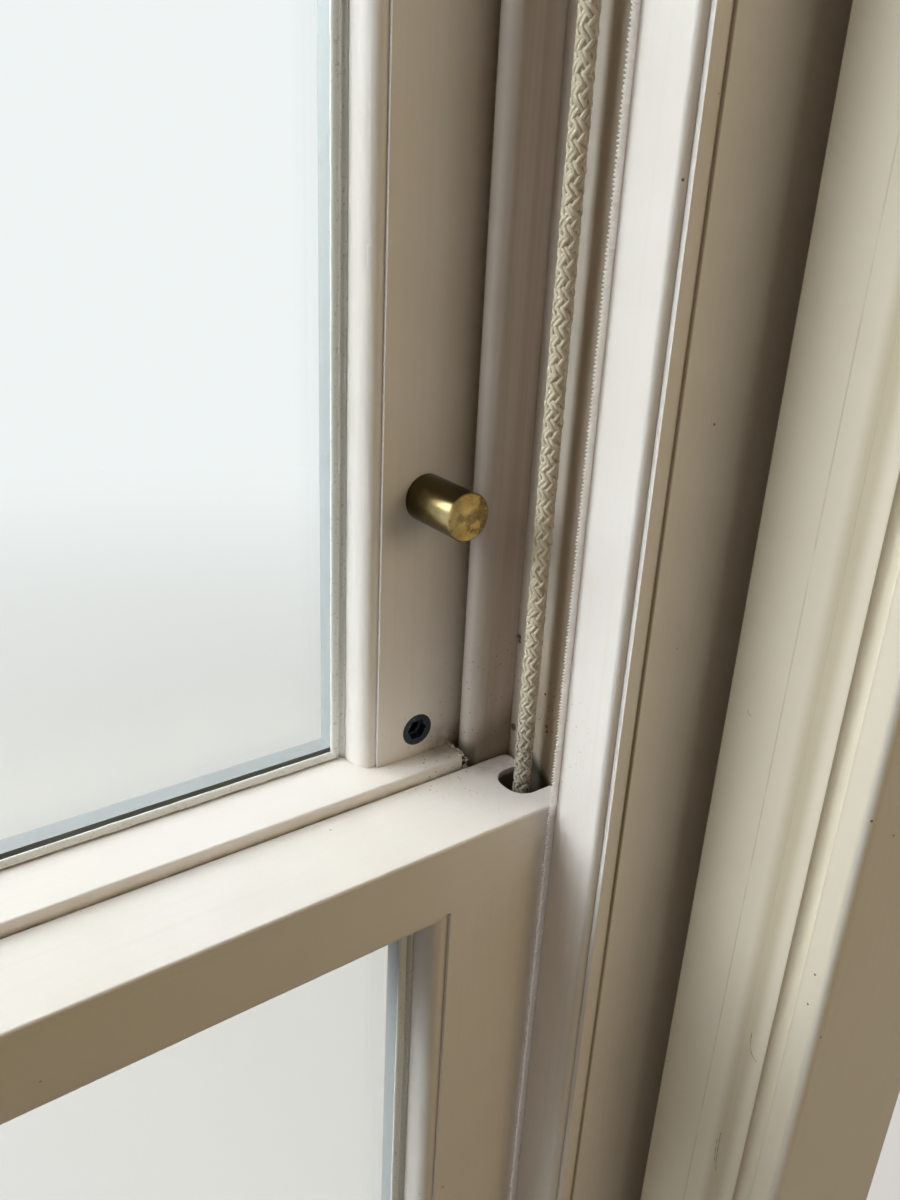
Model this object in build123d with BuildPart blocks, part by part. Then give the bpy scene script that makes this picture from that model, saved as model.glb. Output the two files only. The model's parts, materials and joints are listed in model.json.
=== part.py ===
from build123d import *
import os
from math import radians, tan

os.makedirs("parts", exist_ok=True)

# A timber box sash window: x across, y out of the room, z up, in millimetres.
# The origin is under the middle of the sill, in the plane of the parting beads.

# Opening and sashes
clear_width = 760.0  # between the faces of the pulley stiles
sash_height = 706.0
sash_thickness = 40.6
side_gap = 1.5  # sash edge to pulley stile
lower_sash_face = -46.5  # room face of the lower sash
upper_sash_face = 7.2  # room face of the upper sash
rail_step = 4.5  # upper meeting rail stands this much above the lower one
rail_projection = 12.5  # upper meeting rail comes forward of its stiles
head_gap = 1.0  # top of the closed upper sash to the head
sill_gap = 0.5  # underside of the closed lower sash to the sill

# Sash joinery
stile_flat = 57.5
quirk_depth = 1.5
quirk_width = 2.0
ovolo_width = 5.2
ovolo_depth = 10.0
glass_depth = 16.0  # room face of the sash to the glass
rebate_width = 12.0
meeting_rail_flat = 31.4
upper_meeting_rail_height = 40.0
top_rail_flat = 52.0
bottom_rail_flat = 80.0
tenon_thickness = 12.0
tenon_length = 30.0
tenon_width = 28.0
tenon_shoulder = 2.0
tenon_margin = 14.0  # rail's edge to its tenon
tenon_fit = 0.1
horn_radius = 4.0  # rounding of the lower sash's back corners
soft_arris = 1.2  # worn arris along the meeting rails
rail_end_gap = 2.0  # end of the upper meeting rail's front to the parting bead
tear_depth = 1.6

# Glass and glazing
pane_thickness = 4.0
cavity = 8.0
pane_clearance = 3.0
spacer_inset = 4.0  # sight line to the visible face of the spacer
bead_chamfer = 5.0
bead_mitre_gap = 0.2

# Frame
pulley_stile_thickness = 22.0
lining_thickness = 18.0
lining_width = 82.0
outer_lining_lap = 16.0  # outer lining past the pulley stile's face
back_lining_thickness = 6.0
bead_clearance = 1.5  # lower sash face to the staff bead
inner_lining_setback = 9.0  # staff bead's back to the pulley stile's room edge
outer_gap = 1.2  # upper sash's back to the outer lining
tongue = 6.0
tongue_fit = 0.1
head_thickness = 22.0
head_housing = 8.0
head_lining_height = 82.0
slip_thickness = 3.0
slip_width = 36.0
slip_lift = 60.0  # sill to the foot of the parting slip

# Sill and window board
sill_height = 70.0
sill_step = 6.0
sill_slope = 9.0
sill_nose = 38.0  # past the outer lining
sill_housing_floor = 34.0
drip_width = 8.0
drip_depth = 6.0
board_thickness = 22.0
board_depth = 100.0
board_tongue = 7.0
board_tongue_length = 8.0
board_horn = 18.0

# Beads
parting_thickness = 11.0
parting_proud = 21.5
parting_groove = 9.0
parting_round = 5.0
staff_proud = 10.0
staff_front_inset = 1.0  # staff bead's front behind the lining's face
staff_flat = 20.8
staff_round = 3.0
seal_width = 4.6
seal_groove = 2.2
seal_proud = 1.1

# Casing on the room side
shadow_gap = 10.8  # inner lining to the reveal lining
reveal_margin = 36.5  # pulley stile face to the reveal
reveal_thickness = 25.0
reveal_depth = 35.1
architrave_width = 90.0
architrave_thickness = 29.2
cove_start = 10.6
cove_width = 7.0
arris_round = 4.0
back_round = 3.0
ground_gap = 0.3

# Pocket in the pulley stile
pocket_foot = 150.0  # above the sill
pocket_length = 400.0
pocket_kerf = 0.5
pocket_bevel = 12.0

# Cords, pulleys and weights
cord_diameter = 7.5
cord_proud = 9.5  # pulley stile face to the cord's middle
lower_cord_y = -26.0
upper_cord_y = 27.5
slot_width = 19.0
slot_depth = 17.3
slot_end_radius = 8.0
slot_length = 230.0
cord_hole = 9.0
cord_hole_length = 22.0
knot_pocket_height = 28.0
knot_diameter = 13.0
knot_gap = 0.3
wheel_cord_radius = 27.0
wheel_rim_radius = 30.0
wheel_width = 12.0
cord_groove_gap = 0.45
axle_diameter = 6.0
running_fit = 0.05
pulley_drop = 75.0  # head to the wheel's middle
plate_thickness = 3.0
plate_width = 26.0
plate_height = 130.0
cheek_thickness = 2.5
cheek_height = 46.0
cheek_depth = 30.0
wheel_side_gap = 0.6
wheel_slot_gap = 2.0  # cord on the wheel to the ends of its slot
mortise_gap = 0.4
screw_head = 7.0
screw_shank = 3.6
screw_length = 16.0
screw_spread = 104.0
weight_diameter = 38.0
lower_weight_length = 725.0
upper_weight_length = 765.0
weight_round = 6.0
lower_weight_drop = 150.0  # wheel's middle to the top of the lower sash's weight
upper_weight_lift = 90.0  # sill to the foot of the upper sash's weight
weight_pocket = 16.0

# Stops and inserts
stop_diameter = 18.3
stop_length = 26.7
stop_edge = 0.6
stud_diameter = 6.6
stud_length = 11.0
thread_bore = 6.8
insert_flange = 14.0
insert_flange_thickness = 1.2
insert_body = 11.0
insert_length = 15.0
hex_across_flats = 8.0
hex_depth = 4.0
stop_x_from_edge = 38.3  # sash edge to the stop's axis
insert_height = 12.0  # above the upper meeting rail
stop_height = 112.6

# Places worked out from the sizes above
clear_half = clear_width / 2
sash_half = clear_half - side_gap
lower_sash_back = lower_sash_face + sash_thickness
upper_sash_back = upper_sash_face + sash_thickness
arris_x = sash_half - stile_flat
moulding_width = quirk_width + ovolo_width
sight_x = arris_x - moulding_width
rebate_x = sight_x + rebate_width

staff_back = lower_sash_face - bead_clearance
box_front = staff_back - inner_lining_setback
box_back = upper_sash_back + outer_gap
lining_front = box_front - lining_thickness
lining_back = box_back + lining_thickness
box_half = clear_half + lining_width
stile_back_x = clear_half + pulley_stile_thickness
back_lining_x = box_half - back_lining_thickness

slope_start = staff_back + 0.5
slope_top = sill_height - sill_step
slope_fall = tan(radians(sill_slope))
sill_nose_y = lining_back + sill_nose

lower_sash_foot = slope_top + sill_gap
lower_rail_top = lower_sash_foot + sash_height
upper_rail_top = lower_rail_top + rail_step
upper_sash_foot = upper_rail_top - upper_meeting_rail_height
upper_sash_top = upper_sash_foot + sash_height
head_z = upper_sash_top + head_gap
lining_top = head_z + head_lining_height
pulley_z = head_z - pulley_drop

cord_x = clear_half - cord_proud
wheel_x = cord_x + wheel_cord_radius
weight_x = wheel_x + wheel_cord_radius
reveal_x = clear_half + reveal_margin
reveal_z = head_z + reveal_margin
reveal_back = lining_front - shadow_gap
architrave_back = reveal_back - reveal_depth
architrave_front = architrave_back - architrave_thickness
far = 3 * (box_half + lining_top)


def save(piece, name):
    """Label one finished piece and write it."""
    piece.part.label = name
    export_step(piece.part, f"parts/{name}.step")


def save_pair(right, name):
    """Write a right-hand piece and its mirror image on the left."""
    save(right, f"{name}_right")
    left = mirror(right.part, about=Plane.YZ)
    left.label = f"{name}_left"
    export_step(left, f"parts/{name}_left.step")


def block(x0, x1, y0, y1, z0, z1, mode=Mode.ADD):
    """A rectangular block between two corners."""
    with Locations(((x0 + x1) / 2, (y0 + y1) / 2, (z0 + z1) / 2)):
        Box(abs(x1 - x0), abs(y1 - y0), abs(z1 - z0), mode=mode)


def face_of(*points):
    """A face with straight sides, in the sketch that is open."""
    with BuildLine() as outline:
        Polyline(*points, close=True)
    make_face(outline.edges())


def cut_to_outline(y0, y1, *points):
    """Keep only what lies inside an outline drawn in x and z."""
    with BuildSketch(Plane.XZ.offset(-y0)) as outline:
        face_of(*points)
    extrude(outline.sketch, amount=y0 - y1, mode=Mode.INTERSECT)


def sill_section(rise):
    """The sill's section in y and z, with its top raised by a gap."""
    nose_z = slope_top - slope_fall * (sill_nose_y - slope_start)
    face_of(
        (lining_front, 0),
        (lining_front, sill_height + rise),
        (slope_start, sill_height + rise),
        (slope_start, slope_top + rise),
        (sill_nose_y, nose_z + rise),
        (sill_nose_y, 0),
    )


def cut_on_sill(rise):
    """Trim the foot of the open piece to the sill."""
    with BuildSketch(Plane.YZ) as section:
        sill_section(rise)
    extrude(section.sketch, amount=far, both=True, mode=Mode.SUBTRACT)


# Sections in p and y: p is x on an upright piece, and z on one that lies level
upright = Plane.XY
level = Plane(origin=(0, 0, 0), x_dir=(0, 0, 1), z_dir=(-1, 0, 0))


def moulded_section(outer, arris, face):
    """A sash member from its outer edge to its quirked ovolo at the glass."""
    way = 1 if arris > outer else -1
    sight = arris + way * moulding_width
    ovolo_foot = face + quirk_depth + ovolo_depth
    with BuildLine() as outline:
        Polyline(
            (arris + way * quirk_width, face + quirk_depth),
            (arris, face + quirk_depth),
            (arris, face),
            (outer, face),
            (outer, face + sash_thickness),
            (sight, face + sash_thickness),
            (sight, ovolo_foot),
        )
        EllipticalCenterArc(
            (arris + way * quirk_width, ovolo_foot),
            ovolo_width,
            ovolo_depth,
            start_angle=180 if way < 0 else 270,
            arc_size=90,
        )
    make_face(outline.edges())


def staff_section(base, way):
    """The staff bead: a flat, a small round, a fillet and the front."""
    front = lining_front + staff_front_inset
    flat_end = staff_back - staff_flat
    tip = base + way * staff_proud
    turn = tip - way * staff_round
    with BuildLine() as outline:
        Polyline(
            (turn, flat_end - staff_round),
            (turn, front),
            (base, front),
            (base, staff_back),
            (tip, staff_back),
            (tip, flat_end),
        )
        CenterArc((turn, flat_end), staff_round, 180 if way < 0 else 0, -90 * way)
    make_face(outline.edges())


def casing_section(base):
    """The architrave: a coved inner edge with a rounded arris."""
    cove_top = architrave_back - cove_start
    cove_foot = cove_top - cove_width
    edge = base + architrave_width
    with BuildLine() as outline:
        Polyline(
            (edge, architrave_front + back_round),
            (edge, architrave_back),
            (base, architrave_back),
            (base, cove_top),
        )
        ThreePointArc(
            (base, cove_top),
            (base + cove_width / 3, (cove_top + cove_foot) / 2),
            (base, cove_foot),
        )
        Line((base, cove_foot), (base, architrave_front + arris_round))
        CenterArc((base + arris_round, architrave_front + arris_round), arris_round, 180, 90)
        Line((base + arris_round, architrave_front), (edge - back_round, architrave_front))
        CenterArc((edge - back_round, architrave_front + back_round), back_round, 270, 90)
    make_face(outline.edges())


def along_y(x, z, y0, y1, radius, mode=Mode.ADD):
    """A round bar or hole that runs in y."""
    with Locations(Location((x, (y0 + y1) / 2, z), (90, 0, 0))):
        Cylinder(radius, abs(y1 - y0), mode=mode)


# Sill, with a weathered top, a drip and housings for the pulley stiles
with BuildPart() as sill:
    with BuildSketch(Plane.YZ):
        sill_section(0)
    extrude(amount=box_half, both=True)
    for side in (-1, 1):
        block(
            side * clear_half,
            side * stile_back_x,
            box_front,
            box_back,
            sill_housing_floor,
            sill_height + 1,
            Mode.SUBTRACT,
        )
    drip_y = sill_nose_y - 2 * drip_width
    block(-far, far, drip_y - drip_width, drip_y, 0, drip_depth, Mode.SUBTRACT)
    board_groove_z = sill_height - board_thickness / 2
    block(
        -box_half,
        box_half,
        lining_front,
        lining_front + board_tongue_length,
        board_groove_z - board_tongue / 2,
        board_groove_z + board_tongue / 2,
        Mode.SUBTRACT,
    )
save(sill, "sill")

# Head of the box
with BuildPart() as head:
    block(-back_lining_x, back_lining_x, box_front, box_back, head_z, head_z + head_thickness)
    for side in (-1, 1):
        block(
            side * clear_half,
            side * stile_back_x,
            box_front,
            box_back,
            head_z,
            head_z + head_housing,
            Mode.SUBTRACT,
        )
    block(
        -clear_half,
        clear_half,
        -parting_thickness / 2,
        parting_thickness / 2,
        head_z,
        head_z + parting_groove,
        Mode.SUBTRACT,
    )
save(head, "head")

# Pulley stiles: tongues, bead groove, pulley mortises and the pocket
tongue_x = (clear_half + stile_back_x) / 2
pocket_z = sill_height + pocket_foot
pocket_front = box_front + tongue
pocket_back = -parting_thickness / 2 - pocket_kerf
case_width = wheel_width + 2 * (wheel_side_gap + cheek_thickness)
wheel_slot = 2 * (wheel_cord_radius + cord_diameter / 2 + wheel_slot_gap)


def pocket_outline(kerf):
    """The pocket's bevelled outline in x and z, made smaller by a saw cut."""
    return (
        (clear_half - 1, pocket_z - pocket_bevel + kerf),
        (clear_half, pocket_z - pocket_bevel + kerf),
        (stile_back_x, pocket_z + kerf),
        (stile_back_x + 1, pocket_z + kerf),
        (stile_back_x + 1, pocket_z + pocket_length - kerf),
        (stile_back_x, pocket_z + pocket_length - kerf),
        (clear_half, pocket_z + pocket_length + pocket_bevel - kerf),
        (clear_half - 1, pocket_z + pocket_length + pocket_bevel - kerf),
    )


with BuildPart() as pulley_stile:
    block(clear_half, stile_back_x, box_front, box_back, sill_housing_floor, head_z + head_housing)
    tongue_foot = sill_height + tongue
    for y0, y1 in ((box_front - tongue, box_front), (box_back, box_back + tongue)):
        block(tongue_x - tongue / 2, tongue_x + tongue / 2, y0, y1, tongue_foot, head_z)
    block(
        clear_half,
        clear_half + parting_groove,
        -parting_thickness / 2,
        parting_thickness / 2,
        sill_housing_floor,
        head_z + head_housing,
        Mode.SUBTRACT,
    )
    for cord_y in (lower_cord_y, upper_cord_y):
        with Locations((clear_half + plate_thickness / 2, cord_y, pulley_z)):
            Box(plate_thickness, plate_width, plate_height, mode=Mode.SUBTRACT)
        with Locations((tongue_x, cord_y, pulley_z)):
            Box(2 * pulley_stile_thickness, case_width + 2 * mortise_gap, wheel_slot, mode=Mode.SUBTRACT)
        for drop in (-screw_spread / 2, screw_spread / 2):
            with Locations(Location((clear_half + screw_length / 2, cord_y, pulley_z + drop), (0, 90, 0))):
                Cylinder(screw_shank / 2, screw_length, mode=Mode.SUBTRACT)
    with BuildSketch(Plane.XZ.offset(-pocket_front)):
        face_of(*pocket_outline(0))
    extrude(amount=pocket_front - pocket_back - pocket_kerf, mode=Mode.SUBTRACT)
save_pair(pulley_stile, "pulley_stile")

with BuildPart() as pocket_piece:
    block(
        clear_half,
        stile_back_x,
        pocket_front + pocket_kerf,
        pocket_back,
        pocket_z - pocket_bevel,
        pocket_z + pocket_length + pocket_bevel,
    )
    cut_to_outline(pocket_front, pocket_back, *pocket_outline(pocket_kerf))
save_pair(pocket_piece, "pocket_piece")


def tongue_groove(y0, y1):
    """The groove that takes the pulley stile's tongue."""
    block(
        tongue_x - tongue / 2 - tongue_fit,
        tongue_x + tongue / 2 + tongue_fit,
        y0,
        y1,
        0,
        far,
        Mode.SUBTRACT,
    )


# Linings
with BuildPart() as inner_lining:
    block(clear_half, box_half, lining_front, box_front, sill_height, lining_top)
    tongue_groove(box_front - tongue - tongue_fit, box_front)
save_pair(inner_lining, "inner_lining")

with BuildPart() as inner_lining_head:
    block(-clear_half, clear_half, lining_front, box_front, head_z, lining_top)
save(inner_lining_head, "inner_lining_head")

outer_edge = clear_half - outer_lining_lap
with BuildPart() as outer_lining:
    block(outer_edge, box_half, box_back, lining_back, 0, lining_top)
    tongue_groove(box_back, box_back + tongue + tongue_fit)
    cut_on_sill(0)
save_pair(outer_lining, "outer_lining")

with BuildPart() as outer_lining_head:
    block(-outer_edge, outer_edge, box_back, lining_back, head_z - outer_lining_lap, lining_top)
save(outer_lining_head, "outer_lining_head")

with BuildPart() as back_lining:
    block(back_lining_x, box_half, box_front, box_back, 0, lining_top)
    cut_on_sill(0)
save_pair(back_lining, "back_lining")

# Parting beads, mitred under the head
bead_tip = clear_half - parting_proud
bead_root = clear_half + parting_groove


def parting_section(root, tip):
    """A parting bead with its rounded nose."""
    face_of(
        (root, -parting_thickness / 2),
        (tip, -parting_thickness / 2),
        (tip, parting_thickness / 2),
        (root, parting_thickness / 2),
    )


with BuildPart() as parting_bead:
    with BuildSketch(upright):
        parting_section(bead_root, bead_tip)
    extrude(amount=head_z)
    fillet(parting_bead.edges().filter_by(Axis.Z).group_by(Axis.X)[0], parting_round)
    cut_to_outline(
        -parting_thickness,
        parting_thickness,
        (bead_root, 0),
        (bead_root, head_z),
        (clear_half, head_z),
        (bead_tip, head_z - parting_proud),
        (bead_tip, 0),
    )
    cut_on_sill(0)
save_pair(parting_bead, "parting_bead")

with BuildPart() as parting_bead_head:
    with BuildSketch(level):
        parting_section(head_z + parting_groove, head_z - parting_proud)
    extrude(amount=clear_half, both=True)
    fillet(parting_bead_head.edges().filter_by(Axis.X).group_by(Axis.Z)[0], parting_round)
    cut_to_outline(
        -parting_thickness,
        parting_thickness,
        (-clear_half, head_z + parting_groove),
        (clear_half, head_z + parting_groove),
        (clear_half, head_z),
        (bead_tip, head_z - parting_proud),
        (-bead_tip, head_z - parting_proud),
        (-clear_half, head_z),
    )
save(parting_bead_head, "parting_bead_head")

# Staff beads, mitred round the opening, with a brush seal in the upright ones
staff_tip = clear_half - staff_proud
seal_x = (clear_half + staff_tip) / 2

with BuildPart() as staff_bead:
    with BuildSketch(upright):
        staff_section(clear_half, -1)
    extrude(amount=head_z)
    cut_to_outline(
        lining_front,
        staff_back,
        (clear_half, sill_height),
        (clear_half, head_z),
        (staff_tip, head_z - staff_proud),
        (staff_tip, sill_height + staff_proud),
    )
    block(
        seal_x - seal_width / 2,
        seal_x + seal_width / 2,
        staff_back - seal_groove,
        staff_back,
        sill_height,
        head_z,
        Mode.SUBTRACT,
    )
save_pair(staff_bead, "staff_bead")

for name, base, way in (("head", head_z, -1), ("sill", sill_height, 1)):
    with BuildPart() as cross_bead:
        with BuildSketch(level):
            staff_section(base, way)
        extrude(amount=clear_half, both=True)
        cut_to_outline(
            lining_front,
            staff_back,
            (-clear_half, base),
            (clear_half, base),
            (staff_tip, base + way * staff_proud),
            (-staff_tip, base + way * staff_proud),
        )
    save(cross_bead, f"staff_bead_{name}")

with BuildPart() as brush_seals:
    block(
        seal_x - seal_width / 2,
        seal_x + seal_width / 2,
        staff_back - seal_groove,
        staff_back + seal_proud,
        sill_height + staff_proud,
        head_z - staff_proud,
    )
    mirror(about=Plane.YZ)
save(brush_seals, "brush_seals")

# Parting slips that keep the two weights of a box apart
with BuildPart() as parting_slips:
    block(
        weight_x - slip_width / 2,
        weight_x + slip_width / 2,
        -slip_thickness / 2,
        slip_thickness / 2,
        sill_height + slip_lift,
        head_z,
    )
    mirror(about=Plane.YZ)
save(parting_slips, "parting_slips")

# Axle pulleys: face plate with cheeks, axle and screws
cheek_y = wheel_width / 2 + wheel_side_gap
axle_length = 2 * (cheek_y + cheek_thickness)
plate_back = clear_half + plate_thickness

with BuildPart() as pulley_cases:
    for cord_y in (lower_cord_y, upper_cord_y):
        with BuildSketch(Plane.YZ.offset(clear_half)):
            with Locations((cord_y, pulley_z)):
                Rectangle(plate_width, plate_height)
                Rectangle(2 * cheek_y, wheel_slot, mode=Mode.SUBTRACT)
        extrude(amount=plate_thickness)
        for side in (-1, 1):
            y0 = cord_y + side * cheek_y
            y1 = y0 + side * cheek_thickness
            z0 = pulley_z - cheek_height / 2
            block(plate_back, plate_back + cheek_depth, y0, y1, z0, z0 + cheek_height)
        y0 = cord_y - axle_length / 2
        along_y(wheel_x, pulley_z, y0, y0 + axle_length, axle_diameter / 2, Mode.SUBTRACT)
        for drop in (-screw_spread / 2, screw_spread / 2):
            with Locations(Location((clear_half, cord_y, pulley_z + drop), (0, -90, 0))):
                CounterSinkHole(screw_shank / 2, screw_head / 2, plate_thickness)
    mirror(about=Plane.YZ)
save(pulley_cases, "pulley_cases")

with BuildPart() as pulley_axles:
    for cord_y in (lower_cord_y, upper_cord_y):
        along_y(wheel_x, pulley_z, cord_y - axle_length / 2, cord_y + axle_length / 2, axle_diameter / 2)
    mirror(about=Plane.YZ)
save(pulley_axles, "pulley_axles")

with BuildPart() as pulley_screws:
    head_drop = (screw_head - screw_shank) / 2
    from_face = (Align.CENTER, Align.CENTER, Align.MIN)
    for cord_y in (lower_cord_y, upper_cord_y):
        for drop in (-screw_spread / 2, screw_spread / 2):
            with Locations(Location((clear_half, cord_y, pulley_z + drop), (0, 90, 0))):
                Cylinder(screw_shank / 2, screw_length, align=from_face)
                Cone(screw_head / 2, screw_shank / 2, head_drop, align=from_face)
    mirror(about=Plane.YZ)
save(pulley_screws, "pulley_screws")

# Grooved wheels, one for each cord
hub_radius = axle_diameter / 2 + running_fit
groove_radius = cord_diameter / 2 + cord_groove_gap
web_recess = 2.0
web_inner = 2.4 * hub_radius
web_outer = wheel_cord_radius - groove_radius - 3

for sash, cord_y in (("lower", lower_cord_y), ("upper", upper_cord_y)):
    with BuildPart() as wheel:
        with BuildSketch(Plane.XY.offset(pulley_z)):
            with Locations((wheel_x + (hub_radius + wheel_rim_radius) / 2, cord_y)):
                Rectangle(wheel_rim_radius - hub_radius, wheel_width)
            with Locations((wheel_x + wheel_cord_radius, cord_y)):
                Circle(groove_radius, mode=Mode.SUBTRACT)
            with Locations((wheel_x + wheel_cord_radius + groove_radius, cord_y)):
                Rectangle(2 * groove_radius, 2 * groove_radius, mode=Mode.SUBTRACT)
            for side in (-1, 1):
                with Locations((wheel_x + (web_inner + web_outer) / 2, cord_y + side * wheel_width / 2)):
                    Rectangle(web_outer - web_inner, 2 * web_recess, mode=Mode.SUBTRACT)
        revolve(axis=Axis((wheel_x, cord_y, pulley_z), (0, 1, 0)))
    save_pair(wheel, f"{sash}_pulley_wheel")

# Cast weights, each with a hole and a side pocket for the cord's knot
weight_tops = {
    "lower": pulley_z - lower_weight_drop,
    "upper": sill_height + upper_weight_lift + upper_weight_length,
}
weight_lengths = {"lower": lower_weight_length, "upper": upper_weight_length}
cord_lines = {"lower": lower_cord_y, "upper": upper_cord_y}

for sash, top in weight_tops.items():
    cord_y = cord_lines[sash]
    roof = top - cord_hole_length
    from_top = (Align.CENTER, Align.CENTER, Align.MAX)
    with BuildPart() as weight:
        with Locations((weight_x, cord_y, top)):
            Cylinder(weight_diameter / 2, weight_lengths[sash], align=from_top)
        fillet(weight.edges().filter_by(GeomType.CIRCLE), weight_round)
        with Locations((weight_x, cord_y, top)):
            Cylinder(cord_hole / 2, 2 * cord_hole_length, mode=Mode.SUBTRACT)
        block(
            weight_x - weight_pocket / 2,
            weight_x + weight_diameter,
            cord_y - weight_pocket / 2,
            cord_y + weight_pocket / 2,
            roof - knot_pocket_height,
            roof,
            Mode.SUBTRACT,
        )
    save_pair(weight, f"{sash}_weight")

# Sash cords, from the knot in the stile over the wheel to the knot in the weight
sash_tops = {"lower": lower_rail_top, "upper": upper_sash_top}

for sash, cord_y in cord_lines.items():
    stile_knot_z = sash_tops[sash] - slot_length - cord_hole_length - knot_gap - knot_diameter / 2
    weight_knot_z = weight_tops[sash] - cord_hole_length - knot_gap - knot_diameter / 2
    with BuildPart() as cords:
        with BuildLine(Plane.XZ.offset(-cord_y)) as route:
            Line((cord_x, stile_knot_z), (cord_x, pulley_z))
            CenterArc((wheel_x, pulley_z), wheel_cord_radius, 180, -180)
            Line((weight_x, pulley_z), (weight_x, weight_knot_z))
        with BuildSketch(Plane.XY.offset(stile_knot_z)):
            with Locations((cord_x, cord_y)):
                Circle(cord_diameter / 2)
        sweep(path=route.line)
        with Locations((cord_x, cord_y, stile_knot_z), (weight_x, cord_y, weight_knot_z)):
            Sphere(knot_diameter / 2)
        mirror(about=Plane.YZ)
    save(cords, f"{sash}_sash_cords")


def cord_groove(top, cord_y):
    """The cord's slot in the edge of a sash, with a hole and a pocket for the knot."""
    slot_x = sash_half - slot_depth
    slot_foot = top - slot_length
    roof = slot_foot - cord_hole_length
    with BuildSketch(Plane.XY.offset(slot_foot)) as slot:
        with Locations((slot_x + slot_depth, cord_y)):
            RectangleRounded(2 * slot_depth, slot_width, slot_end_radius)
    extrude(slot.sketch, amount=slot_length + 1, mode=Mode.SUBTRACT)
    with Locations((cord_x, cord_y, slot_foot)):
        Cylinder(cord_hole / 2, 2 * cord_hole_length + 1, mode=Mode.SUBTRACT)
    block(
        slot_x,
        sash_half + 1,
        cord_y - slot_width / 2,
        cord_y + slot_width / 2,
        roof - knot_pocket_height,
        roof,
        Mode.SUBTRACT,
    )


# Lower sash: the meeting rail lies over the stiles, the bottom rail between them
lower_meeting_arris = lower_rail_top - meeting_rail_flat
lower_meeting_sight = lower_meeting_arris - moulding_width
bottom_arris = lower_sash_foot + bottom_rail_flat
bottom_sight = bottom_arris + moulding_width
stile_tenon_x = rebate_x + tenon_shoulder
lower_mid_y = (lower_sash_face + lower_sash_back) / 2
upper_mid_y = (upper_sash_face + upper_sash_back) / 2


def pane_rebate(face, low_sight, high_sight):
    """Cut away what lies behind the glass line."""
    block(
        -rebate_x,
        rebate_x,
        face + glass_depth,
        face + sash_thickness + 1,
        low_sight - rebate_width,
        high_sight + rebate_width,
        Mode.SUBTRACT,
    )


def rail_tenon(mid_y, z0, z1, fit, mode):
    """A rail's tenon into the right-hand stile, or its mortise."""
    half = tenon_thickness / 2 + fit
    block(
        arris_x,
        arris_x + tenon_length + fit,
        mid_y - half,
        mid_y + half,
        z0 - fit,
        z1 + fit,
        mode,
    )


def stile_tenon(mid_y, z0, z1, fit, mode):
    """A stile's tenon into a meeting rail, or its mortise."""
    half = tenon_thickness / 2 + fit
    block(
        stile_tenon_x - fit,
        stile_tenon_x + tenon_width + fit,
        mid_y - half,
        mid_y + half,
        z0,
        z1,
        mode,
    )


bottom_tenon = (lower_sash_foot + tenon_margin, bottom_arris - tenon_margin)
lower_tenon_top = lower_rail_top - tenon_margin / 2

with BuildPart() as lower_stile:
    with BuildSketch(upright):
        moulded_section(sash_half, arris_x, lower_sash_face)
    extrude(amount=far)
    cut_to_outline(
        lower_sash_face,
        lower_sash_back,
        (sash_half, 0),
        (sash_half, lower_meeting_arris),
        (arris_x, lower_meeting_arris),
        (sight_x, lower_meeting_sight),
        (sight_x, bottom_sight),
        (arris_x, bottom_arris),
        (arris_x, 0),
    )
    fillet(lower_stile.edges().filter_by(Axis.Z).group_by(Axis.X)[-1].sort_by(Axis.Y)[-1], horn_radius)
    pane_rebate(lower_sash_face, bottom_sight, lower_meeting_sight)
    stile_tenon(lower_mid_y, lower_meeting_arris, lower_tenon_top, 0, Mode.ADD)
    rail_tenon(lower_mid_y, *bottom_tenon, tenon_fit, Mode.SUBTRACT)
    cord_groove(lower_rail_top, lower_cord_y)
    cut_on_sill(sill_gap)
save_pair(lower_stile, "lower_stile")

with BuildPart() as lower_meeting_rail:
    with BuildSketch(level):
        moulded_section(lower_rail_top, lower_meeting_arris, lower_sash_face)
    extrude(amount=-sash_half)
    cut_to_outline(
        lower_sash_face,
        lower_sash_back,
        (0, lower_rail_top),
        (sash_half, lower_rail_top),
        (sash_half, lower_meeting_arris),
        (arris_x, lower_meeting_arris),
        (sight_x, lower_meeting_sight),
        (0, lower_meeting_sight),
    )
    rail_edges = lower_meeting_rail.edges()
    fillet(rail_edges.filter_by(Axis.Z).group_by(Axis.X)[-1].sort_by(Axis.Y)[-1], horn_radius)
    fillet(lower_meeting_rail.edges().filter_by(Axis.X).group_by(Axis.Z)[-1], soft_arris)
    pane_rebate(lower_sash_face, bottom_sight, lower_meeting_sight)
    stile_tenon(lower_mid_y, lower_meeting_arris - 1, lower_tenon_top + tenon_fit, tenon_fit, Mode.SUBTRACT)
    cord_groove(lower_rail_top, lower_cord_y)
    mirror(about=Plane.YZ)
save(lower_meeting_rail, "lower_meeting_rail")

with BuildPart() as lower_bottom_rail:
    with BuildSketch(level):
        moulded_section(0, bottom_arris, lower_sash_face)
    extrude(amount=-arris_x)
    cut_to_outline(
        lower_sash_face,
        lower_sash_back,
        (0, 0),
        (arris_x, 0),
        (arris_x, bottom_arris),
        (sight_x, bottom_sight),
        (0, bottom_sight),
    )
    pane_rebate(lower_sash_face, bottom_sight, lower_meeting_sight)
    rail_tenon(lower_mid_y, *bottom_tenon, 0, Mode.ADD)
    cut_on_sill(sill_gap)
    mirror(about=Plane.YZ)
save(lower_bottom_rail, "lower_bottom_rail")

# Upper sash: its stiles stand on the meeting rail, the top rail is between them
top_arris = upper_sash_top - top_rail_flat
top_sight = top_arris - moulding_width
top_tenon = (top_arris + tenon_margin / 2, upper_sash_top - tenon_margin)
upper_tenon_foot = upper_sash_foot + tenon_margin / 2
stop_x = sash_half - stop_x_from_edge
insert_z = upper_rail_top + insert_height
stop_z = upper_rail_top + stop_height

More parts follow.
